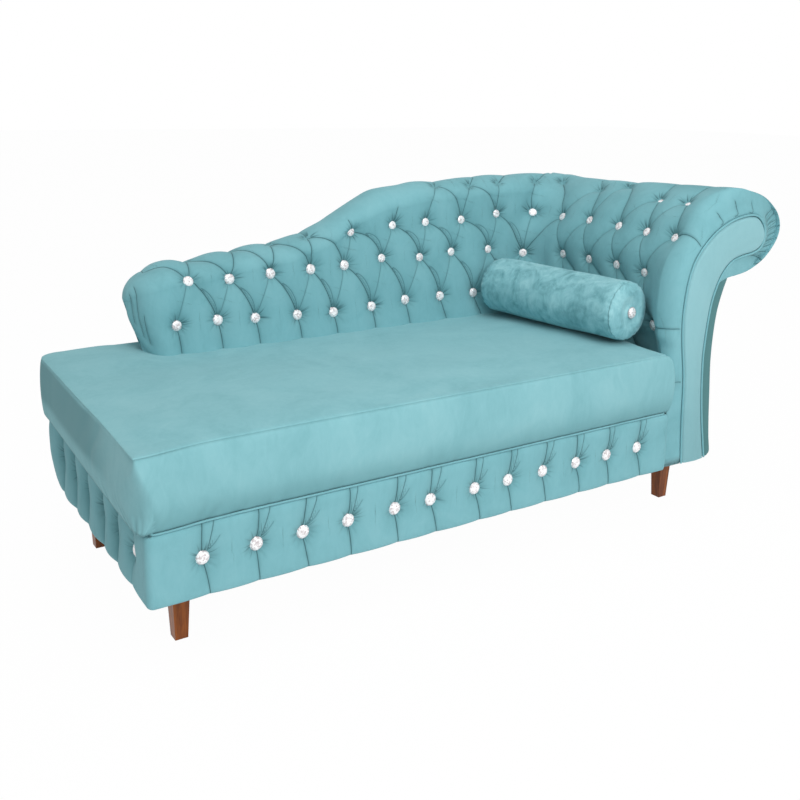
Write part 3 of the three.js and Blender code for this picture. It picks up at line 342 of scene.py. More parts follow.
class Tufting:
    """Pins and folds on a padded grid: where the cloth is drawn in, and how it puffs between."""

    def __init__(self, grid, depth, softness):
        self.grid, self.depth, self.softness = grid, depth, softness
        self.normal = grid_normals(grid)
        size = grid.shape[:2]
        self.cap = np.full(size, float(depth))
        self.groove, self.dimple, self.crease, self.fold_near = (np.zeros(size) for _ in range(4))
        self.upward, self.seed = np.zeros(size), np.zeros(size)
        self.fold_side = np.full(size, 12.0)
        self.reach, self.across = np.full(size, FAR_OFF), np.full(size, FAR_OFF)
        self.buttons = []

    def window(self, rows, columns, margin):
        """The part of the grid round some places."""
        r0, r1 = int(max(min(rows) - margin, 0)), int(min(max(rows) + margin + 1, self.grid.shape[0]))
        c0, c1 = int(max(min(columns) - margin, 0)), int(min(max(columns) + margin + 1, self.grid.shape[1]))
        return slice(r0, r1), slice(c0, c1)

    def pin(self, row, column, crystal=True, hold=0.0, radius=10.0, wrinkles=11, seed=0, reach=46.0,
            strength=1.7, dimple=2.2, sunk=0.0):
        """Draws one place in, with fine gathers round it."""
        here = sample(self.grid, np.array(row), np.array(column))
        facing = sample(self.normal, np.array(row), np.array(column))
        facing = facing / np.linalg.norm(facing)
        window = self.window([row], [column], 34)
        away = self.grid[window] - here
        distance = np.linalg.norm(away, axis=2)
        side = np.cross(facing, (0, 0, 1.0))
        side = side / max(np.linalg.norm(side), 1e-6)
        up = np.cross(side, facing)
        angle = np.arctan2(away @ up, away @ side)
        dice = np.random.default_rng(1000 + seed)
        drawn_in = np.where(distance < radius, self.depth * hold, self.depth)
        self.cap[window] = np.minimum(self.cap[window], drawn_in)
        nearest = distance < self.reach[window]
        for field, value in (
            (self.reach, distance), (self.across, distance * np.cos(angle)),
            (self.upward, distance * np.sin(angle)), (self.seed, seed),
        ):
            field[window] = np.where(nearest, value, field[window])
        lines = (np.arange(wrinkles) + dice.uniform(-0.3, 0.3, wrinkles)) * 2 * math.pi / wrinkles
        lengths = reach * dice.uniform(0.55, 1.0, wrinkles)
        near_fade = smoothstep(distance, radius * 0.7, radius * 1.5)
        for line, length in zip(lines, lengths):
            off = np.abs(distance * np.sin(angle - line))
            ahead = np.cos(angle - line) > 0.2
            fade = near_fade * (1 - smoothstep(distance, length * 0.45, length))
            mark = bell(off, 1.6 + distance * 0.045) * fade * ahead
            self.groove[window] = np.maximum(self.groove[window], mark * strength)
            # The gathers' crease mark is painted as shade along each gather
            self.crease[window] = np.maximum(self.crease[window], mark * 0.35)
        self.dimple[window] += dimple * bell(distance, 23)
        if crystal:
            self.buttons.append((here - facing * (self.depth * (1 - hold) + dimple + sunk), facing))
        return row, column

    def nearest_on(self, path, rows, columns, hold, q, window):
        """For each point of the window, its distance to a path, the side it lies on, and the hold there."""
        here = self.grid[window]
        grid_rows, grid_columns = np.mgrid[window]
        best = np.full(here.shape[:2], 1e9)
        level, side, along = (np.zeros(here.shape[:2]) for _ in range(3))
        for k in range(len(q) - 1):
            step = path[k + 1] - path[k]
            length = max(float(step @ step), 1e-9)
            t = clamp(((here - path[k]) @ step) / length)
            distance = np.linalg.norm(here - path[k] - t[..., None] * step, axis=2)
            closer = distance < best
            best = np.where(closer, distance, best)
            level = np.where(closer, lerp(hold[k], hold[k + 1], t), level)
            along = np.where(closer, lerp(q[k], q[k + 1], t), along)
            down, right = rows[k + 1] - rows[k], columns[k + 1] - columns[k]
            cross = down * (grid_columns - columns[k]) - right * (grid_rows - rows[k])
            side = np.where(closer, np.sign(cross), side)
        return best, level, side, along

    def fold(self, start, end, bend=(0.0, 0.0), keep=0.5, lip=1.6, ends=(0.0, 0.0), width=3.2, mark=0.5,
             line=1.0):
        """A crease between two places of the grid, bowed by bend, in rows and columns."""
        q = np.linspace(0, 1, 24)
        middle = ((start[0] + end[0]) / 2 + bend[0], (start[1] + end[1]) / 2 + bend[1])
        rows, columns = (bowed(start[k], middle[k], end[k], q) for k in range(2))
        path = sample(self.grid, rows, columns)
        chord = lerp(ends[0], ends[1], q)
        hold = chord + (keep - (ends[0] + ends[1]) / 2) * np.sin(math.pi * q) ** 0.8
        window = self.window(rows, columns, 12)
        best, level, side, along = self.nearest_on(path, rows, columns, hold, q, window)
        cap = self.cap[window]
        self.cap[window] = np.where(best < 2.6, np.minimum(cap, self.depth * level), cap)
        taper = np.sin(math.pi * clamp(along, 0.04, 0.96)) ** 0.4
        line_mark = bell(best, width) * taper
        lipped = lip * side * np.exp(-best / 9.0) * np.tanh(best / 2.5) * taper
        self.groove[window] = np.maximum(self.groove[window], line_mark * 1.6) + lipped
        # The crease mark and the shown fold line are painted as shade along the fold
        self.crease[window] = np.maximum(self.crease[window], line_mark * mark)
        closer = (best < np.abs(self.fold_side[window])) & (line > 0)
        self.fold_side[window] = np.where(closer, best * np.where(side == 0, 1, side), self.fold_side[window])
        shown = line * smoothstep(np.minimum(along, 1 - along), -0.01, 0.05) * (1 - smoothstep(best, 4, 6.5))
        self.fold_near[window] = np.maximum(self.fold_near[window], shown)

    def puffed(self, loops=420):
        """The grid with the cloth puffed between its pins, and how creased and how far drawn in each place
        is, which the velvet paints as shade.
        """
        grid = self.grid
        step_across = np.linalg.norm(np.diff(grid, axis=1, append=grid[:, -1:] * 2 - grid[:, -2:-1]), axis=2)
        step_up = np.linalg.norm(np.diff(grid, axis=0, append=grid[-1:] * 2 - grid[-2:-1]), axis=2)
        across = 1 / np.maximum(step_across, 1.2) ** 2
        up = 1 / np.maximum(step_up, 1.2) ** 2
        spring = 1 / self.softness**2
        total = 2 * across + 2 * up + spring
        height = self.cap.copy()
        for _ in range(loops):
            left, right, below, above = neighbours(height)
            pull = across * (left + right) + up * (below + above)
            height = np.minimum((pull + spring * self.depth) / total, self.cap)
        for _ in range(2):
            left, right, below, above = neighbours(height)
            height = height * 0.4 + 0.15 * (left + right + below + above)
        sink = self.depth - height + self.groove + self.dimple
        marks = {
            "crease": self.crease, "fold_side": self.fold_side, "fold_near": self.fold_near,
            "gather_across": self.across, "gather_up": self.upward, "gather_seed": self.seed,
            "recess": clamp(1 - height / self.depth, 0, 1.3),
        }
        return grid - self.normal * sink[..., None], marks


def neighbours(field):
    """A grid's values one column to the left and right, and one row down and up, with its edges repeated."""
    wide = np.pad(field, [(1, 1), (1, 1)] + [(0, 0)] * (field.ndim - 2), mode="edge")
    return wide[1:-1, :-2], wide[1:-1, 2:], wide[:-2, 1:-1], wide[2:, 1:-1]


def placed(points):
    """Millimetres of this script as metres in the part's frame."""
    return np.asarray(points) / 1000 + origin


def grid_piece(name, grid, marks, material, body="couch"):
    """A mesh from a grid of points, welded where its edges meet, with its open ends closed."""
    rows, columns = grid.shape[:2]
    bm = bmesh.new()
    bmesh.ops.create_grid(bm, x_segments=columns - 1, y_segments=rows - 1, size=1)
    mesh = bpy.data.meshes.new(name)
    bm.to_mesh(mesh)
    bm.free()
    flat = np.empty(len(mesh.vertices) * 3)
    mesh.vertices.foreach_get("co", flat)
    flat = flat.reshape(-1, 3)
    c = np.rint((flat[:, 0] + 1) / 2 * (columns - 1)).astype(int)
    r = np.rint((flat[:, 1] + 1) / 2 * (rows - 1)).astype(int)
    mesh.vertices.foreach_set("co", placed(grid[r, c]).astype(np.float32).ravel())
    for key, values in marks.items():
        layer = mesh.attributes.new(key, "FLOAT", "POINT")
        layer.data.foreach_set("value", values[r, c].astype(np.float32))
    bm = bmesh.new()
    bm.from_mesh(mesh)
    bmesh.ops.remove_doubles(bm, verts=bm.verts, dist=2e-5)
    rim = [e for e in bm.edges if e.is_boundary]
    for edge in rim:
        edge.smooth = False
    bmesh.ops.holes_fill(bm, edges=rim, sides=0)
    bmesh.ops.recalc_face_normals(bm, faces=bm.faces)
    bm.to_mesh(mesh)
    bm.free()
    mesh.polygons.foreach_set("use_smooth", np.ones(len(mesh.polygons), bool))
    return finished(name, mesh, material, body)


def finished(name, mesh, material, body):
    piece = bpy.data.objects.new(name, mesh)
    bpy.context.scene.collection.objects.link(piece)
    mesh.materials.clear()
    mesh.materials.append(material)
    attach(piece, body)
    return piece


# Materials
class Nodes:
    """Short hand for a node tree."""

    def __init__(self, tree):
        self.tree = tree

    def add(self, kind, settings=None, **sockets):
        """A node with its settings, and its sockets linked or set: _0 is the first, and others go by name."""
        node = self.tree.nodes.new(kind)
        for key, value in (settings or {}).items():
            setattr(node, key, value)
        for key, value in sockets.items():
            socket = node.inputs[int(key[1:])] if key[0] == "_" else node.inputs[key.replace("_", " ")]
            self.feed(value, socket)
        return node

    def feed(self, value, socket):
        if isinstance(value, bpy.types.NodeSocket):
            self.tree.links.new(value, socket)
        else:
            socket.default_value = value

    def math(self, operation, a, b=0.0):
        return self.add("ShaderNodeMath", {"operation": operation}, _0=a, _1=b).outputs[0]

    def times(self, a, b):
        return self.math("MULTIPLY", a, b)

    def plus(self, a, b):
        return self.math("ADD", a, b)

    def less(self, a, b):
        return self.math("SUBTRACT", a, b)

    def larger(self, a, b):
        return self.math("MAXIMUM", a, b)

    def mix(self, share, a, b):
        return self.add("ShaderNodeMix", {"data_type": "RGBA"}, _0=share, _6=a, _7=b).outputs[2]

    def place(self, upright=1.0):
        """The piece's own coordinates, drawn out along its height where upright is small."""
        own = self.add("ShaderNodeTexCoord").outputs["Object"]
        if upright == 1.0:
            return own
        return self.add("ShaderNodeMapping", Vector=own, Scale=(1.0, 1.0, upright)).outputs[0]

    def noise(self, place, scale, detail, roughness, distortion=0.0):
        return self.add("ShaderNodeTexNoise", Vector=place, Scale=scale, Detail=detail, Roughness=roughness,
                        Distortion=distortion).outputs[0]

    def ramp(self, share, *stops):
        """Tones along a share: each stop is its position and its colour."""
        node = self.add("ShaderNodeValToRGB", Fac=share)
        for element, (position, colour) in zip(node.color_ramp.elements, stops):
            element.position = position
            element.color = (*colour, 1)
        return node.outputs[0]

    def bump(self, strength, distance, height, **sockets):
        return self.add("ShaderNodeBump", Strength=strength, Distance=distance, Height=height,
                        **sockets).outputs[0]

    def surface(self, **sockets):
        shader = self.add("ShaderNodeBsdfPrincipled", **sockets)
        self.feed(shader.outputs[0], self.add("ShaderNodeOutputMaterial").inputs[0])


def new_material(name):
    material = bpy.data.materials.new(name)
    material.use_nodes = True
    material.node_tree.nodes.clear()
    return material, Nodes(material.node_tree)


def socketed_group(name, inputs, outputs):
    """An empty node group with number sockets, and its two end nodes."""
    group = bpy.data.node_groups.new(name, "ShaderNodeTree")
    for label, value in inputs.items():
        socket = group.interface.new_socket(label, in_out="INPUT", socket_type="NodeSocketFloat")
        socket.default_value = value
    for label in outputs:
        group.interface.new_socket(label, in_out="OUTPUT", socket_type="NodeSocketFloat")
    n = Nodes(group)
    return group, n, n.add("NodeGroupInput").outputs, n.add("NodeGroupOutput").inputs


def pile_group():
    """How velvet's pile lies: mottling where it is brushed, and its fine nap."""
    group, n, inputs, outputs = socketed_group("velvet_pile", {"Brushing": 0.5, "Scale": 9.0}, ("Lay", "Nap"))
    broad = n.noise(n.place(), inputs["Scale"], 5.0, 0.62, 0.9)
    brushed = n.noise(n.place(upright=0.35), 38.0, 6.0, 0.7, 1.4)
    both = n.plus(n.times(broad, 0.65), n.times(brushed, 0.35))
    n.feed(n.times(n.less(both, 0.5), inputs["Brushing"]), outputs["Lay"])
    n.feed(n.noise(n.place(), 700.0, 2.0, 0.6), outputs["Nap"])
    return group


LONGEST_GATHER = 44.0


def gather_group():
    """Fine gathers that run out from each button, and the sewn line of each fold, from the cover's marks,
    with a painted-shade halo round each button.
    """
    labels = ("Gathers", "Folds", "Recess")
    group, n, inputs, outputs = socketed_group("sewn_gathers", {"Amount": 1.0}, labels)

    def mark(name):
        return n.add("ShaderNodeAttribute", {"attribute_name": name}).outputs["Fac"]

    def between(value, low, high):
        return n.add("ShaderNodeMapRange", {"interpolation_type": "SMOOTHSTEP"}, _0=value, _1=low,
                     _2=high).outputs[0]

    across, up, seed = mark("gather_across"), mark("gather_up"), mark("gather_seed")
    reach = n.math("SQRT", n.plus(n.times(across, across), n.times(up, up)))
    safe = n.larger(reach, 1.0)
    way_x, way_y = n.math("DIVIDE", across, safe), n.math("DIVIDE", up, safe)
    way = n.add("ShaderNodeCombineXYZ", X=way_x, Y=way_y, Z=n.times(reach, 0.0016)).outputs[0]

    def uneven(button, scale):
        """Values that change with the way out from a button, and from button to button."""
        return n.add("ShaderNodeTexNoise", {"noise_dimensions": "4D"}, Vector=way, W=button, Scale=scale,
                     Detail=0.0).outputs[0]

    ridges, spread = uneven(n.times(seed, 1.37), 2.7), uneven(n.plus(seed, 0.5), 2.2)
    away = n.math("ABSOLUTE", n.less(ridges, 0.5))
    lines = n.less(1.0, between(away, 0.0, n.math("DIVIDE", 1.7, safe)))
    length = n.plus(n.times(spread, 110.0), -6.0)
    length = n.times(length, n.plus(0.5, n.times(between(way_y, -0.5, 0.8), 0.65)))
    length = n.math("MINIMUM", length, LONGEST_GATHER)
    fade = n.less(1.0, between(reach, n.times(length, 0.25), length))
    shown = n.times(n.times(lines, fade), between(reach, 9.0, 13.0))
    n.feed(n.times(shown, inputs["Amount"]), outputs["Gathers"])
    side = n.math("ABSOLUTE", mark("fold_side"))
    line = n.times(n.less(1.0, between(side, 0.3, 1.7)), mark("fold_near"))
    n.feed(n.larger(line, n.times(mark("crease"), 0.6)), outputs["Folds"])
    # Painted shade: a dark halo round each button, heavier toward one side, joined with the recess mark into
    # Recess
    halo = n.times(n.less(1.0, between(reach, 8.0, 46.0)), between(reach, 1.0, 8.0))
    halo = n.times(halo, n.plus(0.42, n.times(way_x, 0.4)))
    n.feed(n.larger(mark("recess"), halo), outputs["Recess"])
    return group


PILE, GATHERS = pile_group(), gather_group()


def velvet(name, brushing, scale, body, shade, light):
    """Turquoise velvet: mottled where the hand has brushed it, with painted shade where it is drawn in, round
    its buttons and along its gathers and folds.
    """
    material, n = new_material(name)
    pile = n.add("ShaderNodeGroup", {"node_tree": PILE}, Brushing=brushing, Scale=scale).outputs
    sewn = n.add("ShaderNodeGroup", {"node_tree": GATHERS}, Amount=1.0).outputs
    up, down = (n.add("ShaderNodeClamp", _0=n.times(pile["Lay"], way)).outputs[0] for way in (2.2, -2.2))
    brushed = n.mix(down, n.mix(up, (*body, 1), (*light, 1)), (*shade, 1))
    # Painted shade: the colour goes toward a dark tone by the Recess mark, and toward a darker one along
    # gathers and folds
    deep = n.times(n.math("POWER", sewn["Recess"], 1.5), 0.62)
    sunk = n.mix(deep, brushed, (*(0.8 * tone for tone in shade), 1))
    drawn = n.larger(n.times(sewn["Gathers"], 0.85), n.times(sewn["Folds"], 0.86))
    colour = n.mix(drawn, sunk, (*(0.42 * tone for tone in shade), 1))
    height = n.times(n.plus(n.times(sewn["Gathers"], 0.8), sewn["Folds"]), -1.0)
    normal = n.bump(0.7, 0.0013, height, Normal=n.bump(0.16, 0.0006, pile["Nap"]))
    n.surface(Base_Color=colour, Roughness=0.82, Normal=normal, Sheen_Weight=0.2, Sheen_Roughness=0.45,
              Sheen_Tint=(0.7, 0.93, 0.95, 1), Specular_IOR_Level=0.12)
    return material


def varnished_wood():
    """Reddish-brown square legs under clear varnish, with upright grain."""
    material, n = new_material("leg_varnish")
    upright = n.place(upright=0.07)
    grain, band = n.noise(upright, 260.0, 5.0, 0.65, 0.5), n.noise(upright, 42.0, 3.0, 0.5, 1.2)
    streak = n.plus(n.times(grain, 0.5), n.times(band, 0.6))
    colour = n.ramp(streak, (0.38, (0.105, 0.022, 0.004)), (0.74, (0.37, 0.108, 0.02)))
    n.surface(Base_Color=colour, Roughness=0.42, Normal=n.bump(0.12, 0.0004, grain), Coat_Weight=0.12,
              Coat_Roughness=0.25, Specular_IOR_Level=0.22)
    return material


def plain_grain(name, low, high, roughness, scale, metallic=0.0):
    """Soft timber, steel or lining: two tones in a fine uneven mix."""
    material, n = new_material(name)
    noise = n.noise(n.place(), scale, 4.0, 0.6)
    n.surface(Base_Color=n.mix(noise, (*low, 1), (*high, 1)), Roughness=roughness, Metallic=metallic,
              Normal=n.bump(0.2, 0.0005, noise))
    return material


def crystal_glass():
    """Foil-backed crystal: silver white, with small facets painted grey and pink as painted reflections."""
    material, n = new_material("crystal")
    facets = n.add("ShaderNodeTexVoronoi", Vector=n.place(), Scale=260.0).outputs["Color"]
    tone = n.ramp(facets, (0.2, (0.6, 0.53, 0.54)), (0.55, (0.96, 0.95, 0.96)))
    n.surface(Base_Color=tone, Roughness=0.16, Metallic=0.1, Specular_IOR_Level=0.7, Coat_Weight=0.4,
              Coat_Roughness=0.06)
    return material


# Each velvet's brushing and scale, then its body, shade and light tones. The seat's and the scroll panel's
# velvets are the couch's velvet painted lighter, as painted light, and the outside panel's is painted darker,
# as painted shade
VELVET = velvet("velvet", 0.8, 6.0, (0.195, 0.44, 0.485), (0.105, 0.285, 0.315), (0.28, 0.54, 0.585))
LIT_SEAT_VELVET = velvet(
    "velvet_seat_painted_light", 1.1, 4.5, (0.225, 0.475, 0.515), (0.14, 0.35, 0.385), (0.31, 0.57, 0.605))
LIT_PANEL_VELVET = velvet(
    "velvet_panel_painted_light", 0.5, 6.0, (0.26, 0.5, 0.54), (0.155, 0.35, 0.385), (0.33, 0.57, 0.605))
SHADED_OUTSIDE_VELVET = velvet(
    "velvet_outside_painted_shade", 0.5, 6.0, (0.088, 0.215, 0.222), (0.062, 0.165, 0.174), (0.125, 0.28, 0.29))
CRUSHED = velvet(
    "velvet_crushed", 3.0, 20.0, (0.23, 0.49, 0.535), (0.12, 0.31, 0.345), (0.33, 0.61, 0.65))
VARNISH = varnished_wood()
TIMBER = plain_grain("frame_timber", (0.42, 0.27, 0.13), (0.6, 0.42, 0.23), 0.75, 60.0)
STEEL = plain_grain("bolt_steel", (0.42, 0.43, 0.45), (0.6, 0.61, 0.63), 0.35, 300.0, 1.0)
LINING = plain_grain("lining", (0.02, 0.022, 0.024), (0.045, 0.047, 0.05), 0.95, 500.0)
CRYSTAL = crystal_glass()
RIM = plain_grain("crystal_rim", (0.5, 0.42, 0.42), (0.72, 0.66, 0.67), 0.3, 200.0, 0.7)

for name, node in nodes.items():
    node.data.materials.clear()
    if name.startswith("leg_bolt"):
        node.data.materials.append(STEEL)
    elif name.startswith("leg_") and "block" not in name:
        node.data.materials.append(VARNISH)
    elif name == "dust_cover":
        node.data.materials.append(LINING)
    elif name in ("arm_front_board", "arm_rear_board"):
        node.data.materials.append(VELVET)
    elif name.endswith(("rail", "board", "deck")) or "slat" in name or "block" in name:
        node.data.materials.append(TIMBER)
    else:
        node.data.materials.append(VELVET)


# Tufting of back and arm
SHEET_DEPTH, SHEET_SOFTNESS = 25.0, 33.0
tufting = Tufting(envelope, SHEET_DEPTH, SHEET_SOFTNESS)
middle_column = corner_column + CORNER_COLUMNS // 2

# Where the roll turns its tight inner corner, the ways it faces are evened out
turning = tufting.normal[crest_row - 10 :, corner_column - 8 : arm_column + 8]
for _ in range(60):
    turning[:] = sum(neighbours(turning)) / 4
turning /= np.maximum(np.linalg.norm(turning, axis=2, keepdims=True), 1e-9)


def nearest_place(axis, along, z, last_row, columns):
    """The level and station nearest to a place that is given along one axis and in height."""
    part = envelope[FOOT_ROWS:last_row, columns]
    gap = (part[..., axis] - along) ** 2 + (part[..., 2] - z) ** 2
    row, column = np.unravel_index(np.argmin(gap), gap.shape)
    return row + FOOT_ROWS, column + columns.start


def on_back(x, z):
    return nearest_place(0, x, z, crest_row + 6, slice(0, middle_column))


def on_arm(y, z):
    return nearest_place(1, y, z, crest_row + 2, slice(middle_column, rim_column))


def on_crest(x, past):
    """A place near the back's rolled top, so many levels past its front shoulder."""
    row = crest_row + past
    return row, int(np.argmin(np.abs(envelope[row, : middle_column + 14, 0] - x)))


# Where the buttons are sewn, as x and height on the back, and depth and height on the arm. A dip is a place
# in the crest without a button, as x and levels past the shoulder.
ROW_A = (
    (295, 534), (406, 536), (511, 530), (634, 526), (745, 520), (868, 525), (982, 531), (1105, 529),
    (1228, 527), (1340, 526),
)
ROW_B = (
    (334, 648), (445, 639), (562, 641), (682, 644), (787, 646), (910, 656), (1040, 651), (1153, 656),
    (1292, 654), (1406, 635),
)
ROW_C = ((814, 736), (951, 746), (1066, 751), (1196, 750), (1327, 761), (1448, 767))
DIPS_LOW = ((349, 5), (475, 6), (583, 0), (682, -13))
DIPS_HIGH = ((1113, -9), (1230, -15), (1340, -15), (1488, -16), (1588, -11))
ARM_A = ((438, 512), (326, 512), (214, 512), (117, 504))
ARM_B = ((499, 645), (387, 646), (274, 646), (170, 640))
ARM_C = ((543, 764), (427, 767), (304, 764), (194, 760), (91, 759))
ARM_D = ((468, 852), (386, 869), (211, 848), (112, 849))

seeds = iter(range(500))


def sewn_at(places, find, **settings):
    """Draws the cloth in at each place in turn."""
    return [tufting.pin(*find(*place), seed=next(seeds), **settings) for place in places]


DIP = {"crystal": False, "radius": 5, "wrinkles": 8, "reach": 30, "dimple": 1.5}
back_a = sewn_at(ROW_A, on_back)
back_b = sewn_at(ROW_B[:5], on_back) + sewn_at(ROW_B[5:], on_back, sunk=4)
back_c = sewn_at(ROW_C, on_back, sunk=4)
low = sewn_at(DIPS_LOW, on_crest, hold=0.5, **DIP)
high = sewn_at(DIPS_HIGH, on_crest, hold=0.42, **DIP)
arm_a = sewn_at(ARM_A[:3], on_arm, sunk=2) + sewn_at(ARM_A[3:], on_arm, hold=0.5, sunk=2)
arm_b = sewn_at(ARM_B, on_arm, sunk=3)
arm_c = sewn_at(ARM_C, on_arm, sunk=3.5)
arm_d = sewn_at(ARM_D[:2], on_arm, hold=0.2, sunk=9, crystal=False)
arm_d += sewn_at(ARM_D[2:], on_arm, hold=0.2, sunk=9)
fold = tufting.fold


def strong(upper, lower, bow):
    """The deep fold that bows to the right and down into the next button, with a second one beside it."""
    drop, run = upper[0] - lower[0], lower[1] - upper[1]
    fold(upper, lower, bend=(drop * bow, run * bow), keep=0.5, lip=2.2)
    control = np.array(((upper[0] + lower[0]) / 2 + drop * bow, (upper[1] + lower[1]) / 2 + run * bow))
    last, share = np.array(lower, float), 0.32
    start = bowed(np.array(upper, float), control, last, share) + (1.2, 1.4)
    control = lerp(control, last, share) + (4.6, 5.0)
    fold(start, last, bend=control - (start + last) / 2, keep=0.72, lip=0.5, width=2.0, ends=(0.75, 0),
         mark=0.15, line=0.6)


def thin(upper, lower):
    """The finer fold that runs nearly straight down into the next button."""
    run = lower[1] - upper[1]
    fold(upper, lower, bend=(2, run * 0.16), keep=0.66, lip=0.9, width=2.6, mark=0.35, line=0.6)


def from_crest(dip, button, down, right, **settings):
    """The fold that bows over from a dip in the crest to a button below it."""
    fold(dip, button, bend=((dip[0] - button[0]) * down, (button[1] - dip[1]) * right), **settings)


def over_crest(dip, keep, hold):
    """The pleat that a dip in the crest sends over the top to the rear."""
    fold(dip, (crest_row + 46, dip[1] + 2), keep=keep, ends=(hold, 0.9), lip=1.0, width=3)


def turned_down(upper, lower):
    """A fold on the arm that leaves its button sideways and turns down into the next."""
    bend = ((upper[0] - lower[0]) * 0.42, (lower[1] - upper[1]) * 0.42)
    fold(upper, lower, bend=bend, keep=0.5, lip=-1.6, line=0.8)


for row, column in back_a:
    fold((row, column), (FOOT_ROWS - 2, column + 2), bend=(0, 1), keep=0.38, ends=(0, 0.4), lip=1.8)
for k, button in enumerate(back_b):
    thin(button, back_a[k])
    if k + 1 < len(back_a):
        strong(button, back_a[k + 1], 0.12)
for k, button in enumerate(back_c):
    thin(button, back_b[k + 4])
    if k + 5 < len(back_b):
        strong(button, back_b[k + 5], 0.2)
for k, dip in enumerate(low):
    fold(dip, back_b[k], keep=0.55, lip=1.2, ends=(0.5, 0))
    from_crest(dip, back_b[k + 1], 0.24, 0.18, keep=0.5, ends=(0.5, 0), lip=2.0)
    over_crest(dip, 0.74, 0.5)
start = on_crest(232, -6)
from_crest(start, back_b[0], 0.28, 0.2, keep=0.5, ends=(0.8, 0), lip=1.8)
over_crest(start, 0.75, 0.8)
for k, dip in enumerate(high[:4]):
    fold(dip, back_c[k + 2], keep=0.62, lip=1.0, ends=(0.42, 0), width=2.6, mark=0.35, line=0.8)
    if k < 2:
        from_crest(dip, back_c[k + 3], 0.12, 0.1, keep=0.52, ends=(0.6, 0), lip=1.8)
    over_crest(dip, 0.9, 0.42)
for (row, column), above, right in ((back_c[0], 20, -4), (back_c[1], 18, 2)):
    fold((row + above, column + right), (row, column), keep=0.75, ends=(0.9, 0), lip=0.8, width=3)

# Round the inner corner and along the arm, the same diamonds go on
fold(high[4], arm_c[0], keep=0.5, lip=1.6, ends=(0.42, 0))
fold(arm_c[0], back_b[9], bend=(6, 3), keep=0.52, lip=1.6)
for k in range(4):
    fold(arm_c[k], arm_b[k], bend=(1, -3), keep=0.62, lip=1.0, width=2.6, mark=0.35, line=0.75)
    fold(arm_c[k + 1], arm_b[k], bend=(5, -2), keep=0.55, lip=1.5, line=0.55)
    turned_down(arm_d[k], arm_c[k + 1])
    fold(arm_d[k], arm_c[k], bend=(7, 2), keep=0.62, lip=1.2, width=3, line=0.6)
    fold(arm_b[k], arm_a[k], bend=(2, -4), keep=0.62, lip=1.0, width=2.6, mark=0.35, line=0.6)
    if k:
        fold(arm_b[k - 1], arm_a[k], bend=(4, 4), keep=0.55, lip=1.5, line=0.6)
    at_front = k == 3
    fold(arm_a[k], (FOOT_ROWS - 2, arm_a[k][1] + 1), keep=0.42 + 0.2 * at_front, ends=(0.5 * at_front, 0.5),
         lip=1.6)
for dip in arm_d:
    fold(dip, (crest_row + 10, dip[1] + 1), keep=0.7, ends=(0.2, 0.9), lip=1.0, width=3, line=0.7)

# Folds that run out over the smooth front roll to the welt, in levels and stations from the rim
edge = rim_column + RIM_COLUMNS - 2
seat_level = FOOT_ROWS - 3
fold(arm_c[4], (crest_row - 61, edge), bend=(9, 3), keep=0.68, ends=(0, 0.85), lip=2.0)
fold(arm_a[3], (FOOT_ROWS + 20, edge), bend=(1, 0), keep=0.78, ends=(0.5, 0.85), lip=1.6)
fold((seat_level, rim_column + 6), (seat_level, edge), keep=0.88, ends=(0.95, 0.9), lip=1.0, width=3,
     line=0.7)
for top, foot, left in ((-27, -34, 14), (-6, -17, 14), (7, 1, 17)):
    fold((crest_row + top, rim_column + left), (crest_row + foot, edge), bend=(3, 5), keep=0.72,
         ends=(0.97, 0.85), lip=1.8, width=3.2)
fold((crest_row + 42, edge), (crest_row + 49, rim_column + 1), bend=(-2, -1), keep=0.5, ends=(0.7, 0.8),
     lip=-2.6)
fold((crest_row + 39, edge), (crest_row + 41, rim_column + 1), bend=(1, 0), keep=0.66, ends=(0.8, 0.85),
     lip=-1.4, line=0.9)

# Upright pleats round the low end
for column, top, foot in ((10, 127, 22), (6, 117, 40), (13, 60, 16)):
    fold((FOOT_ROWS + top, column), (FOOT_ROWS + foot, column - 1), keep=0.7, ends=(0.95, 0.7), lip=1.6,
         width=3)

# Gathers that fan round the scroll's end
for k in range(7):
    level = crest_row + 22 + 2.4 * k
    reach = 2 + 3 * (k % 3 == 1) + 6 * (k % 4 == 2)
    fold((level + 1.2, rim_column + reach), (level, edge), keep=0.62, ends=(1, 0.6), lip=1.6, width=3.0,
         mark=0.6, line=0.9)

# Painted shade: a dark line down the arm's foot at the start of its rim, where the band's end meets it
tufting.crease[: FOOT_ROWS - 1, rim_column - 3 : rim_column + 4] = 0.75
cover, cover_marks = tufting.puffed()

# The last stations are sewn down to the welt, and the front of the roll's top gets a little painted shade
stations, levels = np.arange(cover.shape[1])[None], np.arange(cover.shape[0])[:, None]
last_station = cover.shape[1]
cover = lerp(cover, envelope, smoothstep(stations, last_station - 7, last_station - 3)[..., None])
on_roll = smoothstep(stations, arm_column + 90, arm_column + 130)
on_roll = on_roll * (1 - smoothstep(stations, rim_column, rim_column + 9))
cover_marks["recess"] = np.maximum(cover_marks["recess"], 0.85 * on_roll * bell(levels - crest_row - 4, 17.0))


def closed_ring(grid):
    """Adds the hidden inside of the padding, so that every section closes on itself."""
    columns = grid.shape[1]
    station = np.arange(columns)
    on_arm_side = smoothstep(station, corner_column + 8, arm_column)[:, None]
    inner = []
    for share, (core_x, core_z) in zip((0.2, 0.45, 0.7, 0.9), core_line[::LINE_STEPS]):
        line = lerp(grid[-1], grid[0], share)
        hollow = np.stack([np.full(columns, core_x), clamp(line[:, 1], 16, 764), np.full(columns, core_z)], 1)
        straight = line + np.array((0, 1, 0)) * (755 - line[:, 1:2]) * smoothstep(station, 0, 20)[:, None]
        inner.append(lerp(straight, hollow, on_arm_side))
    return np.concatenate([grid, np.array(inner), grid[:1]], 0)


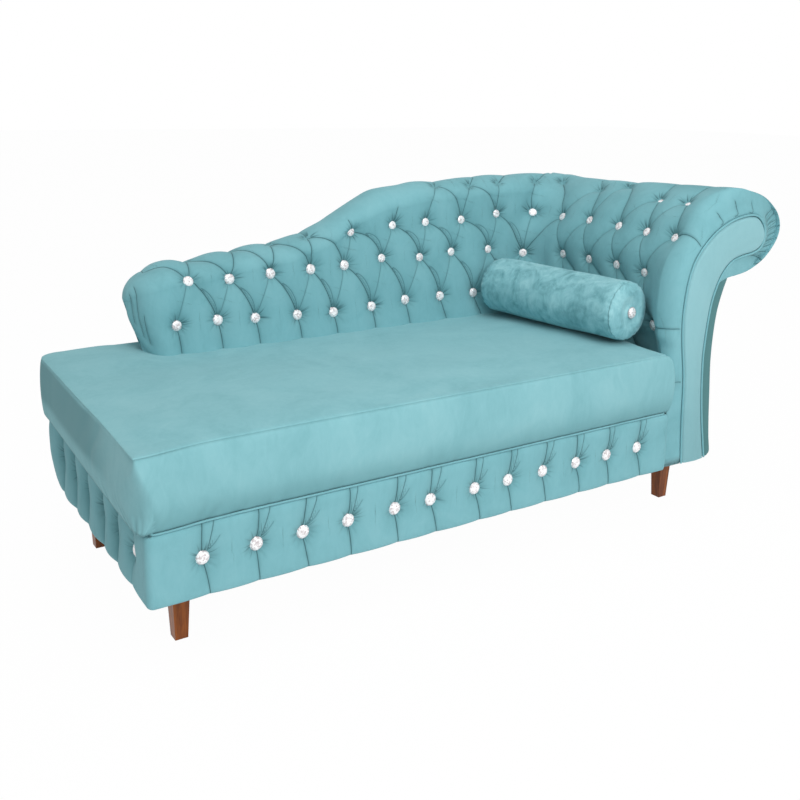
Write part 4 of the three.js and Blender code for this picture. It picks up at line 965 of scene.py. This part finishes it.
def with_hidden_rows(marks, extra):
    """The same marks, with none on the hidden rows that a cover was closed by."""
    return {key: np.pad(value, ((0, extra), (0, 0))) for key, value in marks.items()}


def cover_piece(name, columns):
    """One side of the padded sheet, which meets the other in the middle of the inner corner."""
    marks = {key: value[:, columns] for key, value in whole_marks.items()}
    return grid_piece(name, whole[:, columns], marks, VELVET)


whole = closed_ring(cover)
whole_marks = with_hidden_rows(cover_marks, len(whole) - len(cover))
back_cover = cover_piece("back_cover", slice(0, middle_column + 1))
arm_cover = cover_piece("arm_cover", slice(middle_column, None))
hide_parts("back_pad")
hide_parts("arm_pad", "arm_front_strip")

# Crystals: radii at foot and top, height and middle of a stone and of its rim, and the stone's two steps
STONE, STONE_STEPS = (13.6, 15.2, 3.4, 3.3), ((3.0, 3.0), (4.4, 1.7))
STONE_RIM, STONE_RIM_BEVEL = (14.0, 16.4, 3.4, 1.9), 0.7


def coned(bm, sides, foot, top, height, middle):
    bmesh.ops.create_cone(bm, cap_ends=True, segments=sides, radius1=foot, radius2=top, depth=height,
                          matrix=Matrix.Translation((0, 0, middle)))


def stone(bm):
    """A cut stone whose top steps in twice, with its table turned against its foot."""
    coned(bm, 12, *STONE)
    table = max(bm.faces, key=lambda f: f.calc_center_median().z)
    rings = []
    for inset, up in STONE_STEPS:
        rings.append(bmesh.ops.inset_region(bm, faces=[table], thickness=inset)["faces"])
        bmesh.ops.translate(bm, verts=table.verts, vec=(0, 0, up))
    bmesh.ops.rotate(bm, verts=table.verts, matrix=Matrix.Rotation(math.pi / 12, 3, "Z"))
    bmesh.ops.poke(bm, faces=rings[0])


def stone_rim(bm):
    coned(bm, 28, *STONE_RIM)
    bmesh.ops.bevel(bm, geom=bm.edges[:], offset=STONE_RIM_BEVEL, segments=2, profile=0.5, affect="EDGES",
                    material=-1)


def crystal_pieces(places, prefix, body="couch", size=1.0):
    """A cut stone in a thin rim at each place, its face along the given way."""
    made = []
    for index, (spot, facing) in enumerate(places):
        turn = Vector(facing).to_track_quat("Z", "Y").to_matrix().to_4x4()
        spin = Matrix.Rotation(index * 0.7, 4, "Z")
        matrix = Matrix.Translation(Vector(placed(spot))) @ turn @ spin @ Matrix.Scale(0.001 * size, 4)
        parts = (("stone", stone, CRYSTAL, False), ("rim", stone_rim, RIM, True))
        for part, build, material, smooth in parts:
            bm = bmesh.new()
            build(bm)
            bmesh.ops.transform(bm, matrix=matrix, verts=bm.verts)
            mesh = bpy.data.meshes.new(f"{prefix}_{part}_{index + 1:02d}")
            bm.to_mesh(mesh)
            bm.free()
            mesh.polygons.foreach_set("use_smooth", np.full(len(mesh.polygons), smooth))
            made.append(finished(mesh.name, mesh, material, body))
    return made


crystal_pieces(tufting.buttons, "back_crystal", size=0.93)

# The base band: one sheet round the front and the low end
BAND_OUT, BAND_ROUND, BAND_REAR_ROUND, BAND_RIGHT_ROUND = 7.0, 15.0, 60.0, 10
BAND_COLUMNS, BAND_ROWS = 700, 64
BAND_BUTTON_Z, BAND_DEPTH, BAND_SOFTNESS, BAND_THICK = 217.0, 15.0, 24.0, 32.0
SEAM_LEVEL = 297
BUTTON_PITCH = 108.4

# How far each button strays from an even pitch, along the front and then along the low end
STRAY_FRONT = (0, 8, 3, 3, 14, 2, 18, 9, 9, 8, 4, 4)
STRAY_END = (-4, 3, -2, 4, 0, -3)
band_right = ARM_LEFT - 0.5


def quarter(centre_x, centre_y, radius, start, count=24):
    """A quarter turn in plan, from start degrees on."""
    turn = np.radians(np.linspace(start, start + 90, count))
    return np.stack([centre_x + radius * np.cos(turn), centre_y + radius * np.sin(turn)], 1)


front_round = quarter(BAND_ROUND - BAND_OUT, BAND_ROUND - BAND_OUT, BAND_ROUND, 180)
rear_round = quarter(BAND_REAR_ROUND - BAND_OUT, BASE_DEPTH - BAND_REAR_ROUND, BAND_REAR_ROUND, 90)
right_round = quarter(band_right - BAND_RIGHT_ROUND, BAND_RIGHT_ROUND - BAND_OUT, BAND_RIGHT_ROUND, 270)
rounds = [corner[::-1] for corner in (right_round, front_round, rear_round)]
plan = even_line(np.vstack(rounds), BAND_COLUMNS)
along = np.gradient(plan, axis=0)
outward = np.stack([-along[:, 1], along[:, 0]], 1) / np.linalg.norm(along, axis=1)[:, None]
outward *= -np.sign(outward[60, 1])
level = np.linspace(0, 1, BAND_ROWS)[:, None]


def seam_z(x, y):
    """Where seat and band meet: a little lower at the near corner, and higher toward the low end's rear."""
    climb = 30 * smoothstep(y, 100, 800) * (1 - smoothstep(x, 25, 60))
    return SEAM_LEVEL - 7 * bell(np.hypot(x + BAND_OUT, y + BAND_OUT), 110) + climb


# How far the band's section is drawn in at its foot, at its top and at its rear
on_end = smoothstep(plan[:, 1], 10, 90)[None]
foot_in = 5.0 * (1 - (1 - clamp(1 - level * 7) ** 3) ** 0.5)
near_top = clamp((level - lerp(0.88, 0.62, on_end)) / lerp(0.12, 0.38, on_end))
top_in = lerp(6.0, 12.0, on_end) * (1 - (1 - near_top ** 2.4) ** 0.6)
by_rear = smoothstep(plan[:, 1], 640, 745)[None]
profile_in = foot_in + top_in + by_rear * (14 * clamp(1 - 2 * level) ** 1.5 - 4 * level)
band_grid = np.stack([
    plan[None, :, 0] - outward[None, :, 0] * profile_in,
    plan[None, :, 1] - outward[None, :, 1] * profile_in,
    lerp(BAND_FOOT - 3, seam_z(plan[:, 0], plan[:, 1])[None] - 2.5, level),
], -1)
band = Tufting(band_grid, BAND_DEPTH, BAND_SOFTNESS)
flat_way = 0 * profile_in
band.normal = np.stack([outward[None, :, 0] + flat_way, outward[None, :, 1] + flat_way, flat_way], -1)
button_row = float(np.interp(BAND_BUTTON_Z, band_grid[:, 0, 2], np.arange(BAND_ROWS)))
spots = [(BUTTON_PITCH * (i + 1) + stray, -BAND_OUT) for i, stray in enumerate(STRAY_FRONT)]
spots += [(-BAND_OUT, BUTTON_PITCH * (i + 1) + stray) for i, stray in enumerate(STRAY_END)]
dice = np.random.default_rng(7)
top = BAND_ROWS - 1
for k, spot in enumerate(spots):
    column = float(np.argmin(np.linalg.norm(plan - np.array(spot), axis=1)))
    deep = -0.8 if k > len(STRAY_FRONT) else 0.0
    pinned = band.pin(button_row, column, hold=deep, radius=11, wrinkles=13, reach=44, seed=300 + k,
                      strength=1.5, dimple=6.0)
    bow, shift, gap = dice.uniform(-2, 2), dice.uniform(-1, 2), dice.uniform(5, 8)
    beside = {"width": 2.6, "mark": 0.3}
    band.fold(pinned, (top, column + bow), bend=(0, shift), keep=0.42 + deep, ends=(0, 0.45), lip=1.6)
    band.fold((button_row + 5, column - 2.5), (top, column + bow - gap), bend=(0, 0.5), keep=0.7,
              ends=(0.35, 0.7), lip=-0.9, line=0.85, **beside)
    band.fold((button_row + 5, column - 2), (button_row + 19, column - gap - 3), bend=(-2, 0), keep=0.8,
              ends=(0.4, 0.95), lip=0.8, line=0.5, **beside)
    band.fold(pinned, (0, column - shift * 1.4 - 1), bend=(0, -bow * 0.6), keep=0.5 + deep, ends=(0, 0.7),
              lip=-1.8)
# Painted shade: a dark line down the band's end where it meets the arm
band.crease[:, :3] = 0.8
band_cover, band_marks = band.puffed(300)
inner_plan = plan - outward * (BAND_THICK + BAND_OUT)
inner_rows = [np.column_stack([inner_plan, np.full(BAND_COLUMNS, z)]) for z in (286, BAND_FOOT)]
band_whole = np.concatenate([band_cover, np.array(inner_rows), band_cover[:1]], 0)
band_piece = grid_piece("band_cover", band_whole, with_hidden_rows(band_marks, 3), VELVET)
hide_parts("front_band_pad", "end_band_pad")
made = crystal_pieces(band.buttons, "band_stone")
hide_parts(*[n for n in nodes if n.startswith("band_crystal")])


# Sides of a sewn cord
CORD_SIDES = 12


def cord(name, path, radius, material, normal=(0, -1, 0)):
    """A round cord along a path of points, as one closed piece."""
    path = np.asarray(path, float)
    way = np.gradient(path, axis=0)
    way /= np.linalg.norm(way, axis=1)[:, None]
    side = np.cross(way, np.array(normal, float))
    side /= np.maximum(np.linalg.norm(side, axis=1)[:, None], 1e-6)
    over = np.cross(side, way)
    turn = np.linspace(0, 2 * math.pi, CORD_SIDES + 1)[:, None, None]
    ring = path[None] + radius * (np.cos(turn) * side[None] + np.sin(turn) * over[None])
    return grid_piece(name, ring, {}, material)


# The seat: a box cushion with a sewn edge
SEAT_LEFT, SEAT_FRONT, SEAT_RIGHT, SEAT_REAR = -27.0, -8.0, 1424.0, BASE_DEPTH - 8
SIDE_ROWS, TOP_ROWS = 46, 60


def seat_outline(inset, reach_x, reach_y):
    """The cushion's plan drawn in by inset, its near corner rounded by a reach each way."""
    left, right, front, rear = SEAT_LEFT + inset, SEAT_RIGHT - inset, SEAT_FRONT + inset, SEAT_REAR - inset
    near_x, near_y, small, far = (max(reach - inset, 3) for reach in (reach_x, reach_y, 14, 60))
    corners = [
        quarter(0, 0, 1, 180, 26) * (near_x, near_y) + (left + near_x, front + near_y),
        quarter(right - small, front + small, small, 270, 16),
        quarter(right - small, rear - small, small, 0, 12),
        quarter(left + far, rear - far, far, 90, 26),
    ]
    parts = []
    for k, (corner, count) in enumerate(zip(corners, (260, 90, 150, 150))):
        reach = corners[(k + 1) % 4][0] - corner[-1]
        parts += [corner, corner[-1] + reach * (np.arange(1, count)[:, None] / count)]
    ring = np.vstack(parts)
    return np.vstack([ring, ring[:1]])


def seat_edge(x, y):
    """Height of the sewn edge."""
    near = bell(np.hypot(x - SEAT_LEFT, y - SEAT_FRONT), 150)
    sag = bell(y - 90, 130) * (1 - smoothstep(x, SEAT_LEFT + 15, SEAT_LEFT + 150))
    return SEAT_EDGE + 3 - 3 * near - 7 * sag + 12 * smoothstep(y, 300, SEAT_REAR)


def seat_crown(x, y):
    """Height of the top: lower along the back, fuller at the open end."""
    past_back = 1 - smoothstep(x, 120, 300)
    along_back = 8 * smoothstep(y, 330, 600) * (1 - past_back)
    return SEAT_TOP + 1 - along_back + 8 * smoothstep(y, 450, SEAT_REAR) * past_back


def settled(x, y):
    """How far the top has risen from its sewn edge to its crown: 0 at the edge and 1 well inside."""
    in_x, in_y = clamp(x - SEAT_LEFT - 17, 0, 2000), clamp(y - SEAT_FRONT - 20, 0, 999)
    in_right = clamp(SEAT_RIGHT - 46 - x, 0, 2000)
    settle = (1 - np.exp(-((in_x / 70) ** 1.3))) * (1 - np.exp(-((in_y / 70) ** 1.3)))
    return settle * (1 - (1 - smoothstep(y, 40, 300)) * np.exp(-((in_right / 60) ** 1.3)))

def seat_ring(inset, share, crisp, lift=0.0, right_in=0.0, left_out=0.0, near_out=0.0):
    """One ring round the cushion, a share of the way up its side, its near corner as crisp as given."""
    ring = lerp(seat_outline(inset, 40.0, 110.0), seat_outline(inset, 14.0, 14.0), crisp)
    x, y = ring.T
    near = near_out * bell(np.hypot(x - SEAT_LEFT, y - SEAT_FRONT), 75)
    at_right = smoothstep(x, SEAT_RIGHT - 110, SEAT_RIGHT - 10) * (1 - smoothstep(y, 60, 240))
    x = x - right_in * at_right - left_out * (1 - smoothstep(x, SEAT_LEFT + 10, SEAT_LEFT + 90)) - near
    y = y - near
    return np.column_stack([x, y, lerp(seam_z(x, y), seat_edge(x, y), share) + lift])


def seat_envelope():
    """Rings from under the cushion up its side, over the sewn edge and in to the middle of the top."""
    rows = [seat_ring(inset, 0, 0.5, 5) for inset in (38.0, 22.0)]
    for share in np.linspace(0, 1, SIDE_ROWS):
        swell = 12 * math.sin(math.pi * share) ** 0.6
        bull = (10 + 16 * share) * (1 - math.sqrt(max(0.0, 1 - abs(2 * share - 1) ** 4)))
        crisp = max(0.6 * (1 - float(smoothstep(share, 0, 0.25))), float(smoothstep(share, 0.35, 0.95)))
        rows.append(seat_ring(12 - swell, share, crisp, -2 * share, bull, 4 - 0.5 * swell))
    for inset, lift in ((0.9, -1.2), (0.2, 0.2), (1.0, 1.7), (2.6, 2.2), (5.0, 2.8), (9.0, 3.6)):
        rows.append(seat_ring(11 + inset, 1, 1.0, lift, 26, 3, 5))
    edge_x, edge_y = rows[-1][:, 0], rows[-1][:, 1]
    half = (SEAT_REAR - SEAT_FRONT) / 2
    for share in 1 - (1 - np.linspace(0.01, 1, TOP_ROWS)) ** 0.8 * 0.985:
        x = edge_x + (clamp(edge_x, SEAT_LEFT + half, SEAT_RIGHT - half) - edge_x) * share
        y = edge_y + ((SEAT_REAR + SEAT_FRONT) / 2 - edge_y) * share
        base = seat_edge(x, y) + 3.6
        rows.append(np.column_stack([x, y, base + (seat_crown(x, y) - base) * settled(x, y)]))
    return np.array(rows)


def soft_waves(grid, scale, amount, seed):
    """Slow uneven swell in the stuffing."""
    dice = np.random.default_rng(seed)
    total = np.zeros(grid.shape[:2])
    for _ in range(9):
        way = dice.normal(size=3) / scale
        total += np.sin(grid @ way * 2 * math.pi + dice.uniform(0, 6.28)) * dice.uniform(0.4, 1)
    return total * amount / 3


seat_grid = seat_envelope()
SEAT_COUNT = seat_grid.shape[1] - 1
seat_normal = grid_normals(seat_grid)
seat_normal *= np.sign(-seat_normal[20, 100, 1])
ring_index, row_index = np.arange(SEAT_COUNT + 1)[None], np.arange(len(seat_grid))[:, None]
seat_x, seat_y = seat_grid[..., 0], seat_grid[..., 1]
seam_row = 2 + SIDE_ROWS


def slanted(at, slope, width):
    """A fold up the cushion's side, from a place round its foot, leaning by slope."""
    return bell(ring_index - at - slope * row_index, width)


# Slow swell that leaves the sewn edge and the low end's side alone
from_left = 1 - np.exp(-clamp(seat_x - SEAT_LEFT, 0, 999) / 70)
off_seam = 1 - bell(row_index - seam_row, 5.0)
seat_shift = soft_waves(seat_grid, 560, 2.0, 3) * from_left * smoothstep(row_index, 6, 16) * off_seam
seat_shift *= 1 - 0.7 * smoothstep(seat_y, 560, 640)

# Puckers along the foot, stronger toward the near corner
dice = np.random.default_rng(21)
pucker = np.zeros(seat_grid.shape[:2])
for _ in range(150):
    at, width, size = dice.uniform(0, SEAT_COUNT), dice.uniform(0.9, 2.2), dice.uniform(0.3, 1.4)
    slope, tall = dice.uniform(-0.25, 0.25), dice.uniform(5, 14)
    pucker += size * slanted(at, slope, width) * bell(row_index - 3, tall)
pucker *= 0.35 + 0.9 * bell(np.hypot(seat_x - SEAT_LEFT, seat_y - SEAT_FRONT), 330)

# Slack folds down the low end's side
below_seam = smoothstep(row_index, 8, 20) * (1 - smoothstep(row_index, seam_row - 3, seam_row))
on_side = (seat_x < SEAT_LEFT + 30) * below_seam
drape = np.zeros(seat_grid.shape[:2])
for _ in range(16):
    at = dice.uniform(SEAT_COUNT * 0.82, SEAT_COUNT)
    width, size = dice.uniform(4, 11), dice.uniform(-2.6, 2.2)
    drape += size * slanted(at, dice.uniform(-0.2, 0.2), width)
seat_shift += drape * on_side - pucker
seat_cover = seat_grid + seat_normal * seat_shift[..., None]
seat_cover[:, -1] = seat_cover[:, 0]

# Marks: painted shade in the puckers, the sewn edge where it shows, painted shade on the hidden foot, and
# painted shade on the side and low on the front
seat_marks = clamp(pucker * 0.25) + 0 * seat_x
seam_x = seat_x[seam_row]
shows = 0.34 * smoothstep(seam_x, SEAT_LEFT + 20, SEAT_LEFT + 60)
seat_marks[seam_row - 1 : seam_row + 1] += shows * (1 - smoothstep(seam_x, SEAT_RIGHT - 190, SEAT_RIGHT - 60))
seat_marks[0:4] = 0.8
at_front = (seat_y < SEAT_FRONT + 40) * (seat_x > 10)
painted_shade = 1.3 * on_side * smoothstep(seat_y, 60, 330)
painted_shade += 0.95 * at_front * (1 - smoothstep(row_index, 3, 26))
seat_marks = {"crease": seat_marks, "recess": painted_shade}
seat_piece = grid_piece("seat_cover", seat_cover, seat_marks, LIT_SEAT_VELVET)
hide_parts("seat_cushion")

# The cord sewn between seat and band along the front
PIPING = 2.3
front_edge = seat_cover[3]
front_x = front_edge[:, 0]
front_edge = front_edge[(front_edge[:, 1] < 18) & (front_x > 4) & (front_x < ARM_LEFT - 8)]
piping_path = even_line(front_edge[np.argsort(front_edge[:, 0])], 300)
piping_path[:, 1] = np.convolve(np.pad(piping_path[:, 1], 8, mode="edge"), np.ones(17) / 17, "valid")
piping_path[[0, -1], 1] += 6
cord("seat_piping", piping_path + np.array((0, -1.2, -PIPING - 1.2)), PIPING, VELVET, normal=(0, 0, 1))

# The arm's front: crowned scroll panel, welt cord, and the outside panel's rolled edge


PANEL_CROWN, PANEL_EDGE, PANEL_BACK, PANEL_POINTS = 8.0, 11.0, 12.0, 260
edge_inner = even_line(panel_line[: PANEL_TIP + 1], PANEL_POINTS)
edge_inner = edge_inner - outward_of(edge_inner) * 1.0
edge_outer = even_line(panel_line[PANEL_TIP:][::-1], PANEL_POINTS)
across_share = (1 - np.cos(np.linspace(0, math.pi, 44))) / 2
width = np.linalg.norm(edge_outer - edge_inner, axis=1)
panel_rows_xz = edge_inner[None] + (edge_outer - edge_inner)[None] * across_share[:, None, None]
inset = np.minimum(across_share, 1 - across_share)[:, None] * width[None]
inset = np.minimum(inset, np.linalg.norm(edge_inner - edge_inner[-1], axis=1)[None])
rounded_edge = np.sqrt(1 - (1 - clamp(inset / PANEL_EDGE)) ** 2)
crown = PANEL_CROWN * rounded_edge + 3.0 * smoothstep(inset, 0, 45) - 3.5
panel_front = np.stack([panel_rows_xz[..., 0], 3.0 - crown, panel_rows_xz[..., 1]], -1)
panel_rear = panel_front[[-1, 0]].copy()
panel_rear[..., 1] = PANEL_BACK
panel_ring = np.concatenate([panel_front, panel_rear, panel_front[:1]], 0)
# Painted shade: the scroll panel is darker toward its foot
panel_marks = {"recess": 0.65 * (1 - smoothstep(panel_ring[..., 2], BAND_FOOT, 640))}
panel_piece = grid_piece("scroll_panel_cover", panel_ring, panel_marks, LIT_PANEL_VELVET)
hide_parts("arm_front_panel")

WELT_RADIUS, WELT_Y, WELT_POINTS = 2.8, 1.5, 700
welt_line = even_line(panel_line, WELT_POINTS)
welt_line = welt_line + outward_of(welt_line) * (WELT_GAP / 2)
welt_path = np.stack([welt_line[:, 0], np.full(WELT_POINTS, WELT_Y), welt_line[:, 1]], -1)
welt_piece = cord("scroll_welt", welt_path, WELT_RADIUS, VELVET)
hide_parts("arm_front_welt")

# The outside panel's section, as a share of its width and a depth: a thin lip, a rolled edge and a flat side
OUTSIDE_TOP, OUTSIDE_FRONT, OUTSIDE_REAR = 639, 22.0, 762.0
outside_rise = np.linspace(BAND_FOOT, OUTSIDE_TOP, 120)
beside_panel = panel_line[PANEL_UNDER - 14 :][::-1]
inner_x = np.interp(outside_rise, beside_panel[:, 1], beside_panel[:, 0]) + WELT_GAP - 1.5
outside_line = arm_line(OUTSIDE_SHARES)
outer_x = np.interp(outside_rise, outside_line[:, 1], outside_line[:, 0]) + 10
section = [(0, OUTSIDE_FRONT), (0, 12.0), (0.1, 7.0), (0.25, 5.0), (0.45, 4.5)]
section += [(0.7 + 0.3 * math.sin(t), 13 - 8 * math.cos(t)) for t in np.linspace(0, math.pi / 2, 20)]
section += [(1, y) for y in np.linspace(40, 756, 30)]
section += [(0.8, OUTSIDE_REAR), (0.0, OUTSIDE_REAR), (0, OUTSIDE_FRONT)]
section = np.array(section)[:, None]
foot_lift = 20 * section[..., 0] ** 3 * (1 - smoothstep(outside_rise, BAND_FOOT, BAND_FOOT + 60))[None]
outside_ring = np.stack([
    lerp(inner_x[None], outer_x[None], section[..., 0]),
    section[..., 1] + 0 * inner_x[None],
    outside_rise[None] + foot_lift,
], -1)
outside_piece = grid_piece("outside_cover", outside_ring, {}, SHADED_OUTSIDE_VELVET)
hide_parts("arm_outside_panel")

# The bolster, along its own length from its front end: each station of its cap is a distance and a radius
BOLSTER_AT = np.array((1361.0, 112.0, 551.0))
BOLSTER_LENGTH, BOLSTER_TURN, BOLSTER_GROWN, BOLSTER_RADIUS = 494.0, 0.135, 1.045, 79.2
CAP_SEAM, BOLSTER_STONE_OUT = 15, 1.0
CAP_STATIONS = (
    (0.0, 0.5), (0.0, 4), (0.3, 14), (3.2, 20), (3.4, 26), (0.8, 36), (-1.5, 46), (0, 56), (3.6, 66),
    (7.2, 71.6), (10.6, 75.2), (12.6, 76.6), (14.6, 75.6), (16.0, 75.9), (18.5, 77.2), (24, 78.6),
)
spin = np.linspace(0, 2 * math.pi, 181)[None]
body_line = np.stack([np.linspace(28, BOLSTER_LENGTH / 2, 40), np.full(40, BOLSTER_RADIUS)], 1)
half_line = np.vstack([smooth_line(CAP_STATIONS, 3), body_line])
other = half_line[::-1].copy()
other[:, 0] = BOLSTER_LENGTH - other[:, 0]
bolster_line = np.vstack([half_line, other[1:]])
along_y, radius = bolster_line[:, :1], bolster_line[:, 1:]
dice = np.random.default_rng(5)
slack = 0
for _ in range(16):
    turns, wave, phase = int(dice.integers(1, 6)), dice.uniform(-3.2, 3.2), dice.uniform(0, 6.28)
    angle = turns * spin + along_y / BOLSTER_LENGTH * wave * 2 * math.pi + phase
    slack = slack + np.sin(angle) * dice.uniform(0.2, 0.55) / turns**0.4
end_distance = np.minimum(along_y, BOLSTER_LENGTH - along_y)
seam_pucker = bell(end_distance - CAP_SEAM, 7.0) * (
    0.9 * np.sin(spin * 17 + 1.3) + 0.7 * np.sin(spin * 29 + 0.4) + 0.5 * np.sin(spin * 41 + 2)
)
grown = radius + (slack * 1.15) * smoothstep(end_distance, 8, 60) + seam_pucker * (radius > 50)
grown = np.where(radius > 1, grown, radius)
flat = 1 - 0.05 * smoothstep(-np.cos(spin), 0.6, 1.0)
across = BOLSTER_GROWN * grown * np.sin(spin)
upward = BOLSTER_GROWN * grown * np.cos(spin) * np.where(np.cos(spin) < 0, flat, 1)
cos_t, sin_t = math.cos(BOLSTER_TURN), math.sin(BOLSTER_TURN)
lengthwise = along_y + 0 * spin
turned = np.stack([
    across * cos_t - lengthwise * sin_t, across * sin_t + lengthwise * cos_t, upward,
], -1) + BOLSTER_AT
bolster_marks = bell(end_distance - 13.2, 1.6) * 0.9 + 0 * spin
bolster_piece = grid_piece("bolster_cover", turned, {"crease": bolster_marks}, CRUSHED, "bolster")
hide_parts("bolster_body", "bolster_cap_front", "bolster_cap_rear")
front_way = np.array((sin_t, -cos_t, 0))
stone_places = [
    (BOLSTER_AT - front_way * BOLSTER_STONE_OUT, front_way),
    (BOLSTER_AT - front_way * (BOLSTER_LENGTH - BOLSTER_STONE_OUT), -front_way),
]
bolster_stones = crystal_pieces(stone_places, "bolster_stone", "bolster")
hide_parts("bolster_crystal_front", "bolster_crystal_rear")

# Camera, light and floor
CAMERA_PLACE, CAMERA_TURN = (-1.42051, -2.05702, 1.11162), (32.9166, -11.9495, 0.8599)
CAMERA_LENS, CAMERA_SENSOR, CAMERA_SHIFT, CAMERA_CLIP = 43.837, 36, -0.125, 60
FLOOR_REACH, FLOOR_TONE, FLOOR_GLOW = 26, 0.94, 0.98


def look():
    """The camera at the photograph's place, by its yaw, pitch and roll."""
    camera = bpy.data.objects.new("photo_camera", bpy.data.cameras.new("photo_camera"))
    bpy.context.scene.collection.objects.link(camera)
    camera.data.sensor_width = CAMERA_SENSOR
    camera.data.lens = CAMERA_LENS
    camera.data.shift_y = CAMERA_SHIFT
    yaw, pitch, roll = (math.radians(turn) for turn in CAMERA_TURN)
    ahead = Vector((math.sin(yaw) * math.cos(pitch), math.cos(yaw) * math.cos(pitch), math.sin(pitch)))
    right = ahead.cross(Vector((0, 0, 1))).normalized()
    up = right.cross(ahead)
    tilted_right = right * math.cos(roll) + up * math.sin(roll)
    tilted_up = up * math.cos(roll) - right * math.sin(roll)
    matrix = Matrix((tilted_right, tilted_up, -ahead)).transposed().to_4x4()
    matrix.translation = Vector(CAMERA_PLACE)
    camera.matrix_world = matrix
    camera.data.clip_end = CAMERA_CLIP
    bpy.context.scene.camera = camera


def lamp(name, place, target, size, power):
    """A square white light that faces its target."""
    light = bpy.data.objects.new(name, bpy.data.lights.new(name, "AREA"))
    light.data.energy = power
    light.data.size = size
    light.data.shape = "SQUARE"
    light.location = place
    light.rotation_euler = (Vector(target) - Vector(place)).to_track_quat("-Z", "Y").to_euler()
    bpy.context.scene.collection.objects.link(light)


def seen_straight(n):
    """1 where the camera, a mirror or a clear body looks at something, and 0 where it only gives light."""
    rays = n.add("ShaderNodeLightPath").outputs
    return n.larger(rays["Is Camera Ray"], n.larger(rays["Is Glossy Ray"], rays["Is Transmission Ray"]))


def mixed_by(n, share, first, second, output):
    """Two shaders mixed by a share, into the tree's output."""
    both = n.add("ShaderNodeMixShader", _0=share, _1=first.outputs[0], _2=second.outputs[0])
    n.feed(both.outputs[0], n.add(output).inputs[0])


def white_world():
    """Soft light all round, and plain white where it is looked at."""
    world = bpy.data.worlds.new("studio")
    bpy.context.scene.world = world
    world.use_nodes = True
    world.node_tree.nodes.clear()
    n = Nodes(world.node_tree)
    soft = n.add("ShaderNodeBackground", Color=(1, 1, 1, 1), Strength=0.45)
    white = n.add("ShaderNodeBackground", Color=(1, 1, 1, 1), Strength=1.0)
    mixed_by(n, seen_straight(n), soft, white, "ShaderNodeOutputWorld")


def white_floor():
    bm = bmesh.new()
    bmesh.ops.create_grid(bm, x_segments=1, y_segments=1, size=FLOOR_REACH)
    mesh = bpy.data.meshes.new("floor")
    bm.to_mesh(mesh)
    bm.free()
    floor = bpy.data.objects.new("floor", mesh)
    bpy.context.scene.collection.objects.link(floor)
    material, n = new_material("floor_white")
    matte = n.add("ShaderNodeBsdfDiffuse", Color=(FLOOR_TONE, FLOOR_TONE, FLOOR_TONE, 1))
    glow = n.add("ShaderNodeEmission", Color=(1, 1, 1, 1), Strength=1.0)
    mixed_by(n, n.times(seen_straight(n), FLOOR_GLOW), matte, glow, "ShaderNodeOutputMaterial")
    mesh.materials.append(material)


look()
lamp("key", (-0.5, -3.8, 2.7), (0.1, 0, 0.35), 2.2, 94)
lamp("top", (-0.2, -0.9, 3.6), (-0.2, 0.1, 0.4), 2.4, 34)
lamp("fill", (-3.2, -2.4, 1.6), (0, 0, 0.4), 2.6, 5)
white_world()
white_floor()
bpy.context.scene.view_settings.view_transform = "Standard"
